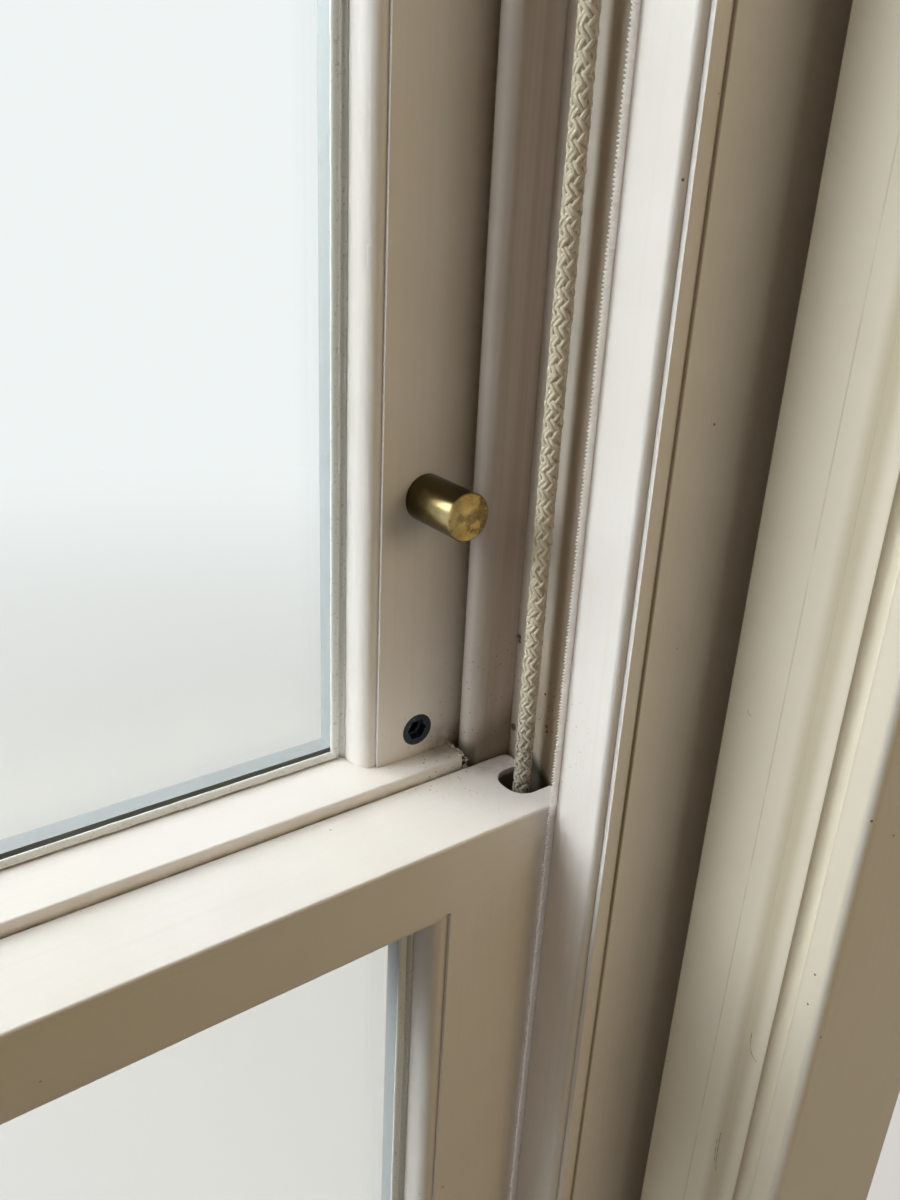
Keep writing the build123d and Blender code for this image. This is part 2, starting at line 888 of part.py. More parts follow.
with BuildPart() as upper_stile:
    with BuildSketch(upright):
        moulded_section(sash_half, arris_x, upper_sash_face)
    extrude(amount=far)
    cut_to_outline(
        upper_sash_face,
        upper_sash_back,
        (sash_half, upper_rail_top),
        (sash_half, upper_sash_top),
        (arris_x, upper_sash_top),
        (arris_x, top_arris),
        (sight_x, top_sight),
        (sight_x, upper_rail_top),
    )
    pane_rebate(upper_sash_face, upper_rail_top, top_sight)
    stile_tenon(upper_mid_y, upper_tenon_foot, upper_rail_top, 0, Mode.ADD)
    rail_tenon(upper_mid_y, *top_tenon, tenon_fit, Mode.SUBTRACT)
    cord_groove(upper_sash_top, upper_cord_y)
    for z in (insert_z, stop_z):
        along_y(
            stop_x,
            z,
            upper_sash_face,
            upper_sash_face + insert_flange_thickness,
            insert_flange / 2,
            Mode.SUBTRACT,
        )
        along_y(stop_x, z, upper_sash_face, upper_sash_face + insert_length, insert_body / 2, Mode.SUBTRACT)
save_pair(upper_stile, "upper_stile")

with BuildPart() as upper_top_rail:
    with BuildSketch(level):
        moulded_section(upper_sash_top, top_arris, upper_sash_face)
    extrude(amount=-arris_x)
    cut_to_outline(
        upper_sash_face,
        upper_sash_back,
        (0, upper_sash_top),
        (arris_x, upper_sash_top),
        (arris_x, top_arris),
        (sight_x, top_sight),
        (0, top_sight),
    )
    pane_rebate(upper_sash_face, upper_rail_top, top_sight)
    rail_tenon(upper_mid_y, *top_tenon, 0, Mode.ADD)
    mirror(about=Plane.YZ)
save(upper_top_rail, "upper_top_rail")

# The upper meeting rail, with the torn end of its front beside the right-hand parting bead
rail_front = upper_sash_face - rail_projection
rail_end = bead_tip - rail_end_gap

with BuildPart() as upper_meeting_rail:
    block(0, rail_end, rail_front, upper_sash_face, upper_sash_foot, upper_rail_top)
    block(0, sash_half, upper_sash_face, upper_sash_back, upper_sash_foot, upper_rail_top)
    fillet(
        upper_meeting_rail.edges().filter_by(Axis.X).group_by(Axis.Z)[-1].sort_by(Axis.Y)[0],
        soft_arris,
    )
    pane_rebate(upper_sash_face, upper_rail_top, upper_rail_top)
    stile_tenon(upper_mid_y, upper_tenon_foot - tenon_fit, upper_rail_top + 1, tenon_fit, Mode.SUBTRACT)
    mirror(about=Plane.YZ)
    with BuildSketch(Plane.XY.offset(upper_sash_foot)):
        face_of(
            (rail_end + 1, upper_sash_face),
            (rail_end, upper_sash_face),
            (rail_end - 0.9 * tear_depth, upper_sash_face - 0.2 * rail_projection),
            (rail_end - 0.3 * tear_depth, upper_sash_face - 0.3 * rail_projection),
            (rail_end - 0.8 * tear_depth, upper_sash_face - 0.5 * rail_projection),
            (rail_end - 0.1 * tear_depth, upper_sash_face - 0.6 * rail_projection),
            (rail_end - 0.5 * tear_depth, upper_sash_face - 0.75 * rail_projection),
            (rail_end - tear_depth, rail_front),
            (rail_end + 1, rail_front),
        )
    extrude(amount=upper_meeting_rail_height, mode=Mode.SUBTRACT)
save(upper_meeting_rail, "upper_meeting_rail")


# Double glazing and the outside glazing beads of a sash
def bead_section(root, tip, y0, y1):
    """A glazing bead with a chamfered outer arris at the sight line."""
    way = 1 if tip > root else -1
    face_of(
        (root, y0),
        (tip, y0),
        (tip, y1 - bead_chamfer),
        (tip - way * bead_chamfer, y1),
        (root, y1),
    )


def glaze(sash, face, low_sight, high_sight):
    """Write the panes, the spacer and the glazing beads of one sash."""
    low = low_sight - rebate_width
    high = high_sight + rebate_width
    pane_x = rebate_x - pane_clearance
    pane_low = low + pane_clearance
    pane_high = high - pane_clearance
    inner_y = face + glass_depth + pane_thickness
    outer_y = inner_y + cavity
    with BuildPart() as panes:
        block(-pane_x, pane_x, inner_y - pane_thickness, inner_y, pane_low, pane_high)
        block(-pane_x, pane_x, outer_y, outer_y + pane_thickness, pane_low, pane_high)
    save(panes, f"{sash}_glass")

    hole_x = sight_x - spacer_inset
    with BuildPart() as spacer:
        block(-pane_x, pane_x, inner_y, outer_y, pane_low, pane_high)
        block(
            -hole_x,
            hole_x,
            inner_y,
            outer_y,
            low_sight + spacer_inset,
            high_sight - spacer_inset,
            Mode.SUBTRACT,
        )
    save(spacer, f"{sash}_spacer")

    glass_back = outer_y + pane_thickness
    back = face + sash_thickness
    with BuildPart() as strip:
        with BuildSketch(upright):
            bead_section(rebate_x, sight_x, glass_back, back)
        extrude(amount=far)
        cut_to_outline(
            glass_back,
            back,
            (rebate_x, low + bead_mitre_gap),
            (rebate_x, high - bead_mitre_gap),
            (sight_x, high_sight - bead_mitre_gap),
            (sight_x, low_sight + bead_mitre_gap),
        )
    strips = [strip.part, mirror(strip.part, about=Plane.YZ)]
    for root, tip in ((low, low_sight), (high, high_sight)):
        with BuildPart() as strip:
            with BuildSketch(level):
                bead_section(root, tip, glass_back, back)
            extrude(amount=rebate_x, both=True)
            cut_to_outline(
                glass_back,
                back,
                (-rebate_x, root),
                (rebate_x, root),
                (sight_x, tip),
                (-sight_x, tip),
            )
        strips.append(strip.part)
    beads = Compound(label=f"{sash}_glazing_beads", children=strips)
    export_step(beads, f"parts/{sash}_glazing_beads.step")


glaze("lower", lower_sash_face, bottom_sight, lower_meeting_sight)
glaze("upper", upper_sash_face, upper_rail_top, top_sight)

# Threaded inserts in the upper sash's stiles, with hex sockets
with BuildPart() as stop_inserts:
    for z in (insert_z, stop_z):
        along_y(stop_x, z, upper_sash_face, upper_sash_face + insert_flange_thickness, insert_flange / 2)
        along_y(stop_x, z, upper_sash_face, upper_sash_face + insert_length, insert_body / 2)
        along_y(stop_x, z, upper_sash_face, upper_sash_face + insert_length, thread_bore / 2, Mode.SUBTRACT)
        with BuildSketch(Plane.XZ.offset(-upper_sash_face)):
            with Locations((stop_x, z)):
                RegularPolygon(hex_across_flats / 2, 6, major_radius=False)
        extrude(amount=-hex_depth, mode=Mode.SUBTRACT)
    mirror(about=Plane.YZ)
save(stop_inserts, "stop_inserts")

# Brass stops, screwed into the upper pair of inserts
with BuildPart() as brass_stops:
    along_y(stop_x, stop_z, upper_sash_face - stop_length, upper_sash_face, stop_diameter / 2)
    chamfer(brass_stops.edges().filter_by(GeomType.CIRCLE).sort_by(Axis.Y)[0], stop_edge)
    along_y(stop_x, stop_z, upper_sash_face, upper_sash_face + stud_length, stud_diameter / 2)
    mirror(about=Plane.YZ)
save(brass_stops, "brass_stops")

# Reveal linings and grounds behind the architrave
reveal_outer_x = reveal_x + reveal_thickness
reveal_outer_z = reveal_z + reveal_thickness

with BuildPart() as reveal_lining:
    block(reveal_x, reveal_outer_x, architrave_back, reveal_back, sill_height, reveal_z)
save_pair(reveal_lining, "reveal_lining")

with BuildPart() as reveal_lining_head:
    block(-reveal_outer_x, reveal_outer_x, architrave_back, reveal_back, reveal_z, reveal_outer_z)
save(reveal_lining_head, "reveal_lining_head")

with BuildPart() as grounds:
    block(reveal_outer_x, box_half, architrave_back, lining_front, sill_height, lining_top)
    mirror(about=Plane.YZ)
    block(
        -reveal_outer_x + ground_gap,
        reveal_outer_x - ground_gap,
        architrave_back,
        lining_front,
        reveal_outer_z,
        lining_top,
    )
save(grounds, "grounds")

# Architrave with mitred corners
casing_edge_x = reveal_x + architrave_width
casing_edge_z = reveal_z + architrave_width

with BuildPart() as architrave:
    with BuildSketch(upright):
        casing_section(reveal_x)
    extrude(amount=far)
    cut_to_outline(
        architrave_front,
        architrave_back,
        (reveal_x, sill_height),
        (reveal_x, reveal_z),
        (casing_edge_x, casing_edge_z),
        (casing_edge_x, sill_height),
    )
save_pair(architrave, "architrave")

with BuildPart() as architrave_head:
    with BuildSketch(level):
        casing_section(reveal_z)
    extrude(amount=casing_edge_x, both=True)
    cut_to_outline(
        architrave_front,
        architrave_back,
        (-reveal_x, reveal_z),
        (reveal_x, reveal_z),
        (casing_edge_x, casing_edge_z),
        (-casing_edge_x, casing_edge_z),
    )
save(architrave_head, "architrave_head")

# Window board, tongued into the sill
with BuildPart() as window_board:
    board_half = casing_edge_x + board_horn
    board_front = lining_front - board_depth
    block(-board_half, board_half, board_front, lining_front, sill_height - board_thickness, sill_height)
    fillet(window_board.edges().filter_by(Axis.X).group_by(Axis.Y)[0], board_thickness / 3)
    block(
        -box_half,
        box_half,
        lining_front,
        lining_front + board_tongue_length,
        board_groove_z - board_tongue / 2,
        board_groove_z + board_tongue / 2,
    )
save(window_board, "window_board")
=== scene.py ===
import json
import math
import random

import bpy
import numpy as np
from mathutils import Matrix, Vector


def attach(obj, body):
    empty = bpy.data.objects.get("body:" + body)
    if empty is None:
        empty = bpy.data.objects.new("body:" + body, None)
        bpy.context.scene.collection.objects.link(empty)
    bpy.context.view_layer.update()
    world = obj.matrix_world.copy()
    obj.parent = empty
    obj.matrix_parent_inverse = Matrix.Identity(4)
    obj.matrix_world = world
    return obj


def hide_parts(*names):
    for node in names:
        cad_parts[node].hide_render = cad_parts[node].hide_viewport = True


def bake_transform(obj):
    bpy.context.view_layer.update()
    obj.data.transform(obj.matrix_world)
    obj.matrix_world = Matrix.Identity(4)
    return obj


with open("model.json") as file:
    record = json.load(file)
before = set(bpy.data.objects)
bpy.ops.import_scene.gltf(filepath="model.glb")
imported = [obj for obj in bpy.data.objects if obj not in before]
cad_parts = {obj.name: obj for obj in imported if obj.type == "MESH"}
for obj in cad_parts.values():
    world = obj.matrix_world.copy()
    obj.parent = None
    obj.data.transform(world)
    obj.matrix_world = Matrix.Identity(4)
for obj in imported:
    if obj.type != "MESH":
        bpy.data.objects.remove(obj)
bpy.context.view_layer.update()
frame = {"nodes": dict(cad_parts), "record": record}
mm = 0.001
print("window loaded:", len(frame["nodes"]), "nodes")

# Camera, stood where the window was photographed from
view = {
    "place": (0.1265, -0.2915, 1.0075),
    "turn": (66.246, -2.625, -36.129),  # degrees
    "lens": 30.84,  # for 36 mm on the picture's long side
}


def placeCamera(settings):
    data = bpy.data.cameras.new("camera")
    data.lens = settings["lens"]
    data.sensor_width = 36
    data.clip_start = 0.01
    camera = bpy.data.objects.new("camera", data)
    camera.location = settings["place"]
    camera.rotation_euler = [math.radians(angle) for angle in settings["turn"]]
    bpy.context.scene.collection.objects.link(camera)
    bpy.context.scene.camera = camera


placeCamera(view)
bpy.context.scene.view_settings.view_transform = "Standard"
print("camera placed")


# Shader maths: a Wire is one output socket, and sums on wires become nodes
class Wire:
    def __init__(self, nodes, socket):
        self.nodes = nodes
        self.socket = socket

    def sum(self, operation, other, swapped=False):
        pair = (other, self) if swapped else (self, other)
        return self.nodes.node("Math", {"operation": operation}, pair)

    def __add__(self, other):
        return self.sum("ADD", other)

    def __radd__(self, other):
        return self.sum("ADD", other)

    def __sub__(self, other):
        return self.sum("SUBTRACT", other)

    def __rsub__(self, other):
        return self.sum("SUBTRACT", other, True)

    def __mul__(self, other):
        return self.sum("MULTIPLY", other)

    def __rmul__(self, other):
        return self.sum("MULTIPLY", other)

    def __pow__(self, other):
        return self.sum("POWER", other)

    def __abs__(self):
        return self.nodes.node("Math", {"operation": "ABSOLUTE"}, (self,))

    def larger(self, other):
        return self.sum("MAXIMUM", other)

    def fade(self, start, end):  # 0 before start, 1 after end
        kind = {"interpolation_type": "SMOOTHSTEP"}
        return self.nodes.node("MapRange", kind, {0: self, 1: start, 2: end, 3: 0.0, 4: 1.0})

    def until(self, start, end):  # 1 before start, 0 after end
        return 1 - self.fade(start, end)

    def within(self, middle, start, end):  # 1 up to start from the middle, 0 past end
        return abs(self - middle).until(start, end)


class Nodes:
    def __init__(self, tree, output):
        self.tree = tree
        self.output = tree.nodes[output]

    def node(self, kind, settings=None, values=(), out=0):
        made = self.tree.nodes.new("ShaderNode" + kind)
        for key, value in (settings or {}).items():
            setattr(made, key, value)
        pairs = values.items() if isinstance(values, dict) else enumerate(values)
        for key, value in pairs:
            self.feed(made.inputs[key], value)
        return Wire(self, made.outputs[out])

    def feed(self, socket, value):
        if isinstance(value, Wire):
            self.tree.links.new(value.socket, socket)
        elif isinstance(value, tuple) and len(value) == 3 and socket.type == "RGBA":
            socket.default_value = (*value, 1)
        else:
            socket.default_value = value

    def mixShaders(self, share, first, second):
        return self.node("MixShader", {}, (share, first, second))

    def ray(self, kind):
        return self.node("LightPath", out=f"Is {kind} Ray")

    def seen(self):  # rays that find the pale background
        return self.ray("Camera").larger(self.ray("Glossy")).larger(self.ray("Transmission"))

    def show(self, shader):
        self.feed(self.output.inputs[0], shader)


class Finish(Nodes):
    def __init__(self, name):
        self.material = bpy.data.materials.new(name)
        self.material.use_nodes = True
        super().__init__(self.material.node_tree, "Material Output")
        self.shader = self.tree.nodes["Principled BSDF"]

    def set(self, **sockets):
        names = {"colour": "Base Color", "roughness": "Roughness", "metallic": "Metallic",
                 "normal": "Normal", "specular": "Specular IOR Level", "sheen": "Sheen Weight",
                 "ior": "IOR", "transmission": "Transmission Weight"}
        for key, value in sockets.items():
            self.feed(self.shader.inputs[names[key]], value)
        return self

    def surface(self):
        return Wire(self, self.shader.outputs[0])

    def place(self):  # the window's own metres, which move with each sash
        return self.node("TexCoord", out=3)

    def axes(self):
        split = self.node("SeparateXYZ", values=(self.place(),)).socket.node
        return [Wire(self, socket) for socket in split.outputs]

    def stretched(self, scale):
        return self.node("Mapping", values={0: self.place(), 3: scale})

    def noise(self, scale, detail=3.0, rough=0.5, vector=None):
        values = {"Vector": vector or self.place(), "Scale": scale, "Detail": detail, "Roughness": rough}
        return self.node("TexNoise", {}, values)

    def cells(self, scale):
        return self.node("TexVoronoi", {"feature": "F1"}, {"Vector": self.place(), "Scale": scale})

    def blend(self, factor, first, second):
        return self.node("Mix", {"data_type": "RGBA"}, {0: factor, 6: first, 7: second}, out=2)

    def softEdge(self, radius):
        return self.node("Bevel", {"samples": 6}, {0: radius})

    def bump(self, height, depth, strength, under=None):
        values = {"Strength": strength, "Distance": depth, "Height": height}
        if under:
            values["Normal"] = under
        return self.node("Bump", {}, values)


def makePiece(name, points, faces, finish, smooth=True):
    mesh = bpy.data.meshes.new(name)
    mesh.from_pydata(points, [], faces)
    mesh.validate()
    mesh.shade_smooth() if smooth else mesh.shade_flat()
    mesh.materials.append(finish)
    piece = bpy.data.objects.new(name, mesh)
    bpy.context.scene.collection.objects.link(piece)
    return piece


spikeFaces = np.array([[0, 1, 2], [0, 3, 1], [1, 3, 2], [2, 3, 0]])


class Tubes:  # gathers tubes and spikes as one mesh
    def __init__(self):
        self.points = []
        self.faces = []
        self.count = 0

    def add(self, points, faces):
        self.points.append(points)
        self.faces.extend((faces + self.count).tolist())
        self.count += len(points)

    def spike(self, *corners):  # a thin three-sided bristle or hair, its tip last
        self.add(np.array(corners), spikeFaces)

    def tube(self, middle, across, out, width, depth, sides):
        turn = np.arange(sides) * 2 * math.pi / sides + math.pi / sides
        ring = (middle[:, None, :] + across[:, None, :] * (width / 2 * np.cos(turn))[None, :, None]
                + out[:, None, :] * (depth / 2 * np.sin(turn))[None, :, None])
        rings = len(middle)
        row = np.arange(rings - 1)[:, None] * sides
        k = np.arange(sides)[None, :]
        nextK = (k + 1) % sides
        quads = np.stack([row + k, row + nextK, row + sides + nextK, row + sides + k], -1).reshape(-1, 4)
        start = self.count
        self.add(ring.reshape(-1, 3), quads)
        last = start + (rings - 1) * sides
        self.faces.append([start + i for i in range(sides - 1, -1, -1)])
        self.faces.append([last + i for i in range(sides)])

    def mesh(self):
        return np.concatenate(self.points) * mm, self.faces


def unit(vectors):
    return vectors / np.linalg.norm(vectors, axis=-1, keepdims=True)


# Cotton of the sash cords
cotton = {
    "colour": (0.86, 0.785, 0.64),
    "shade": (0.58, 0.49, 0.35),  # soiled yarns
    "grey": (0.52, 0.485, 0.44),  # handled yarns
    "soot": (0.34, 0.31, 0.275),
    "sootSpeck": (0.09, 0.075, 0.06),
    "slotMouth": 0.768,  # metres
    "fibre": 0.00012,
}


def cottonFinish(settings):
    f = Finish("cotton_cord")
    z = f.axes()[2]
    soil = f.noise(160.0, 4, 0.6).fade(0.48, 0.75)
    fine = f.noise(2600.0, 2, 0.6)
    colour = f.blend(soil * 0.4, settings["colour"], settings["shade"])
    handled = z.within(settings["slotMouth"] + 0.002, 0.015, 0.075)
    handled = handled * (0.35 + f.noise(420.0, 3, 0.7).fade(0.40, 0.60) * 0.55)
    colour = f.blend(handled, colour, settings["grey"])
    sooty = z.within(settings["slotMouth"], 0.010, 0.036)
    colour = f.blend(sooty * 0.5, colour, settings["soot"])
    specks = f.noise(800.0, 2, 0.6).fade(0.555, 0.600) * sooty
    colour = f.blend(specks * 0.9, colour, settings["sootSpeck"])
    colour = f.blend(fine.fade(0.3, 0.7) * 0.25, colour, settings["shade"])
    f.set(colour=colour, roughness=0.88 + fine * 0.1, specular=0.25, sheen=0.3)
    return f.set(normal=f.bump(fine, settings["fibre"], 0.7)).material


# Braided sash cords, each in two pieces that meet on top of its wheel; lengths in mm
cord = {
    "middle": 2.85,  # cord's axis to the yarns
    "weave": 0.35,  # yarns rise and dip by this
    "yarnWidth": 1.72,
    "yarnDepth": 1.1,
    "carriers": 4,  # each way, with two yarns on each
    "yarnSpread": 0.31,  # radians either side of the carrier
    "lead": 25.6,  # length of one turn
    "core": 2.8,
    "waver": 0.075,  # radians by which a yarn strays
    "rough": 0.10,  # and in depth
    "wheelRadius": 27.0,
    "wheelX": 397.5,
    "wheelZ": 1367.0,
    "knot": 3.4,
    "knotYarn": 5.0,
    "anchored": 8.0,  # above the knot
    "hairs": 420,
    "hairWidth": 0.045,
    "hairTop": 1340,
    "frayed": (765, 815),  # at the slot in the lower sash
}
cordRuns = {
    # name: (y, foot at the knot, which way from the wheel, body, yarn sides, mm between rings)
    "lower_cord_sash_side": (-26.0, 511.7, -1, "lower_sash", 5, 1.07),
    "upper_cord_sash_side": (27.5, 1182.2, -1, "upper_sash", 5, 1.07),
    "lower_cord_weight_side": (-26.0, 1188.2, 1, "lower_weight", 4, 1.6),
    "upper_cord_weight_side": (27.5, 896.2, 1, "upper_weight", 4, 1.6),
}


def cordPath(s, y, way):  # round the wheel for a quarter turn, then straight down
    arc = cord["wheelRadius"] * math.pi / 2
    angle = np.minimum(s, arc) / cord["wheelRadius"]
    out = np.stack([way * np.sin(angle), np.zeros_like(s), np.cos(angle)], -1)
    middle = np.array([cord["wheelX"], y, cord["wheelZ"]]) + cord["wheelRadius"] * out
    middle[:, 2] -= np.maximum(s - arc, 0)
    return middle, out


def uneven(s, dice):  # a slow random wave of about unit size, still at the wheel's top
    total = np.zeros_like(s)
    for _ in range(3):
        total += np.sin(s * dice.uniform(0.15, 0.9) + dice.uniform(0, 2 * math.pi))
    return total * np.minimum(s / 30, 1) * 0.6


def braid(tubes, y, foot, way, sides, step):
    length = cord["wheelRadius"] * math.pi / 2 + cord["wheelZ"] - foot
    s = np.linspace(0, length, int(length / step) + 1)
    turns = 2 * math.pi * s / cord["lead"]
    middle, out = cordPath(s, y, way)
    side = np.broadcast_to(np.array([0.0, 1.0, 0.0]), out.shape)
    dice = random.Random(y)
    for hand in (1, -1):
        radius = cord["middle"] + hand * cord["weave"] * np.cos(cord["carriers"] * turns)
        for carrier in range(cord["carriers"]):
            for spread in (-cord["yarnSpread"], cord["yarnSpread"]):
                angle = hand * turns + 2 * math.pi * carrier / cord["carriers"] + spread
                angle = angle + cord["waver"] * uneven(s, dice)
                outward = out * np.cos(angle)[:, None] + side * np.sin(angle)[:, None]
                yarn = middle + outward * (radius + cord["rough"] * uneven(s, dice))[:, None]
                along = unit(np.gradient(yarn, axis=0))
                across = unit(np.cross(along, outward))
                deep = unit(np.cross(across, along))
                tubes.tube(yarn, across, deep, cord["yarnWidth"], cord["yarnDepth"], sides)
    tubes.tube(middle[::4], out[::4], side[::4], 2 * cord["core"], 2 * cord["core"], 8)
    return middle[-1]


def knot(tubes, centre):  # a tight overhand knot, on a curve that reaches three units out
    turn = np.linspace(0, 2 * math.pi, 73)
    curve = np.stack([np.sin(turn) + 2 * np.sin(2 * turn), np.cos(turn) - 2 * np.cos(2 * turn),
                      -1.3 * np.sin(3 * turn)], -1)
    line = curve * cord["knot"] / 3 * 0.8 + centre
    along = unit(np.gradient(line, axis=0))
    across = unit(np.cross(along, unit(line - centre + 0.001)))
    tubes.tube(line, across, np.cross(across, along), cord["knotYarn"], cord["knotYarn"], 8)


def hairs(tubes, dice, y, low, high):  # loose fibres on the cord
    axis = np.array([cord["wheelX"] - cord["wheelRadius"], y, 0.0])
    width = cord["hairWidth"]
    for _ in range(cord["hairs"]):
        z = dice.uniform(low, high)
        angle = dice.uniform(0, 2 * math.pi)
        outward = np.array([math.cos(angle), math.sin(angle), 0.0])
        root = axis + np.array([0, 0, z]) + outward * (cord["middle"] + 0.5)
        reach = dice.uniform(0.3, 1.3)
        stray = np.array([dice.uniform(-1, 1), dice.uniform(-1, 1), dice.uniform(-2, 2)])
        tip = root + (outward + stray) * reach * 0.7
        side = np.array([-outward[1], outward[0], 0.0]) * width
        tubes.spike(root + side, root - side, root + np.array([0, 0, 1.5 * width]), tip)


def makeCords():
    finish = cottonFinish(cotton)
    for name, (y, foot, way, body, sides, step) in cordRuns.items():
        tubes = Tubes()
        knot(tubes, braid(tubes, y, foot, way, sides, step))
        if way < 0:
            dice = random.Random(name)
            hairs(tubes, dice, y, foot + 60, cord["hairTop"])
            if body == "lower_sash":
                hairs(tubes, dice, y, *cord["frayed"])
        points, faces = tubes.mesh()
        for hand, sideName in ((1, "right"), (-1, "left")):
            here = points * np.array([hand, 1, 1])
            turned = faces if hand > 0 else [face[::-1] for face in faces]
            piece = makePiece(f"{name}_{sideName}", here.tolist(), turned, finish)
            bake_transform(piece)
            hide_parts("lower_sash_cords" if "lower" in name else "upper_sash_cords")
    return finish


cottonMaterial = makeCords()
print("cords braided")

# Brush pile in the backs of the staff beads; lengths in mm
pile = {
    "colour": (0.95, 0.93, 0.915),
    "shade": (0.78, 0.75, 0.72),
    "low": 80.5,
    "high": 1431.5,
    "inset": 0.4,  # of the bristles from both ends
    "near": 372.8,  # side of the strip that faces the opening
    "far": 377.3,
    "root": -50.1,
    "tip": -46.95,
    "free": 1.4,  # bristles past their backing
    "back": -48.0,  # back of the staff bead
    "mat": 5.2,  # how far the open side is pressed out
    "tooth": 1.3,  # reach of the teeth at its edge
    "step": 0.45,  # a third of a tooth
    "through": 0.85,  # share of light that shines through
    "upright": 4800,
    "pressed": 8000,
}


def pileFinish(settings):
    f = Finish("brush_pile")
    fine = f.noise(900.0, 3, 0.6)
    colour = f.blend(fine.fade(0.35, 0.7) * 0.4, settings["colour"], settings["shade"])
    f.set(colour=colour, roughness=0.8 + fine * 0.15, specular=0.2, sheen=0.2)
    f.set(normal=f.bump(fine, 0.0002, 0.5))
    thin = f.node("BsdfTranslucent", {}, (settings["colour"],))
    f.show(f.mixShaders(settings["through"], f.surface(), thin))
    return f.material


def pileSheet(tubes, dice, settings, low, high):  # the pressed bristles' felt, its edge in teeth
    steps = int((settings["high"] - settings["low"]) / settings["step"])
    z = np.linspace(low, high, steps)
    tooth = np.arange(steps) % 3 / 2 + np.array([dice.uniform(-0.25, 0.25) for _ in range(steps)])
    edge = settings["near"] - (settings["mat"] + settings["tooth"] * tooth)
    wave = np.array([dice.uniform(-0.10, 0.10) for _ in range(steps)])
    inner = np.full(steps, settings["near"] + 0.8)
    back = settings["back"]
    rows = [(inner, back - 0.04 + wave * 0.1), (edge, back + 0.14 + wave),
            (edge + 0.1, back + 0.50 + wave), (inner, back + 0.75 + wave)]
    sheet = np.stack([np.stack([x, y, z], -1) for x, y in rows], 1).reshape(-1, 3)
    k = np.arange(steps - 1)[:, None] * 4
    i = np.arange(4)[None, :]
    j = (i + 1) % 4
    tubes.add(sheet, np.stack([k + i, k + 4 + i, k + 4 + j, k + j], -1).reshape(-1, 4))
    last = (steps - 1) * 4
    tubes.faces.extend([[0, 1, 2, 3], [last + 3, last + 2, last + 1, last]])
    return steps, z[1] - z[0]


def uprightBristles(tubes, dice, settings, low, high):
    root = settings["root"]
    for _ in range(settings["upright"]):
        x = dice.uniform(settings["near"] + 0.3, settings["far"] - 0.3)
        z = dice.uniform(low, high)
        tip = [x + dice.uniform(-0.8, 0.8), settings["tip"] - dice.uniform(0, 0.5), z + dice.uniform(-1, 1)]
        tip[0] = min(tip[0], settings["far"] + 0.4)
        tubes.spike([x - 0.22, root, z - 0.2], [x + 0.22, root, z - 0.2], [x, root, z + 0.25], tip)


def pressedBristles(tubes, dice, settings, low, steps, pitch):  # these follow the teeth
    for _ in range(settings["pressed"]):
        at = dice.uniform(0, steps - 4)
        z = low + at * pitch
        reach = settings["mat"] + settings["tooth"] * min(at % 3, 2) / 2 + dice.uniform(-1.6, 0.4) + 0.5
        x = settings["near"] + dice.uniform(0, 1.0)
        y = settings["back"] + dice.uniform(0.04, 0.30)
        tip = [x - reach, y + dice.uniform(-0.02, 0.6), z + dice.uniform(0, 0.25)]
        tubes.spike([x, y, z - 0.24], [x, y + 0.12, z + 0.24], [x, y - 0.1, z + 0.2], tip)


def pileBacking(tubes, settings):
    xs, ys = (settings["near"], settings["far"]), (settings["root"], settings["tip"] - settings["free"])
    outline = ((xs[0], ys[0]), (xs[1], ys[0]), (xs[1], ys[1]), (xs[0], ys[1]))
    corners = [[x, y, z] for z in (settings["low"], settings["high"]) for x, y in outline]
    sides = [[3, 2, 1, 0], [4, 5, 6, 7], [0, 1, 5, 4], [1, 2, 6, 5], [2, 3, 7, 6], [3, 0, 4, 7]]
    tubes.add(np.array(corners), np.array(sides))


def makePile(settings):
    dice = random.Random(41)
    tubes = Tubes()
    low, high = settings["low"] + settings["inset"], settings["high"] - settings["inset"]
    steps, pitch = pileSheet(tubes, dice, settings, low, high)
    uprightBristles(tubes, dice, settings, low, high)
    pressedBristles(tubes, dice, settings, low, steps, pitch)
    pileBacking(tubes, settings)
    points, faces = tubes.mesh()
    both = np.concatenate([points, points * np.array([-1, 1, 1])])
    faces = faces + [[len(points) + i for i in reversed(face)] for face in faces]
    piece = makePiece("pile", both.tolist(), faces, pileFinish(settings), smooth=False)
    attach(piece, "frame")
    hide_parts("brush_seals")
    return piece.data.materials[0]


pileMaterial = makePile(pile)
print("brush pile set")

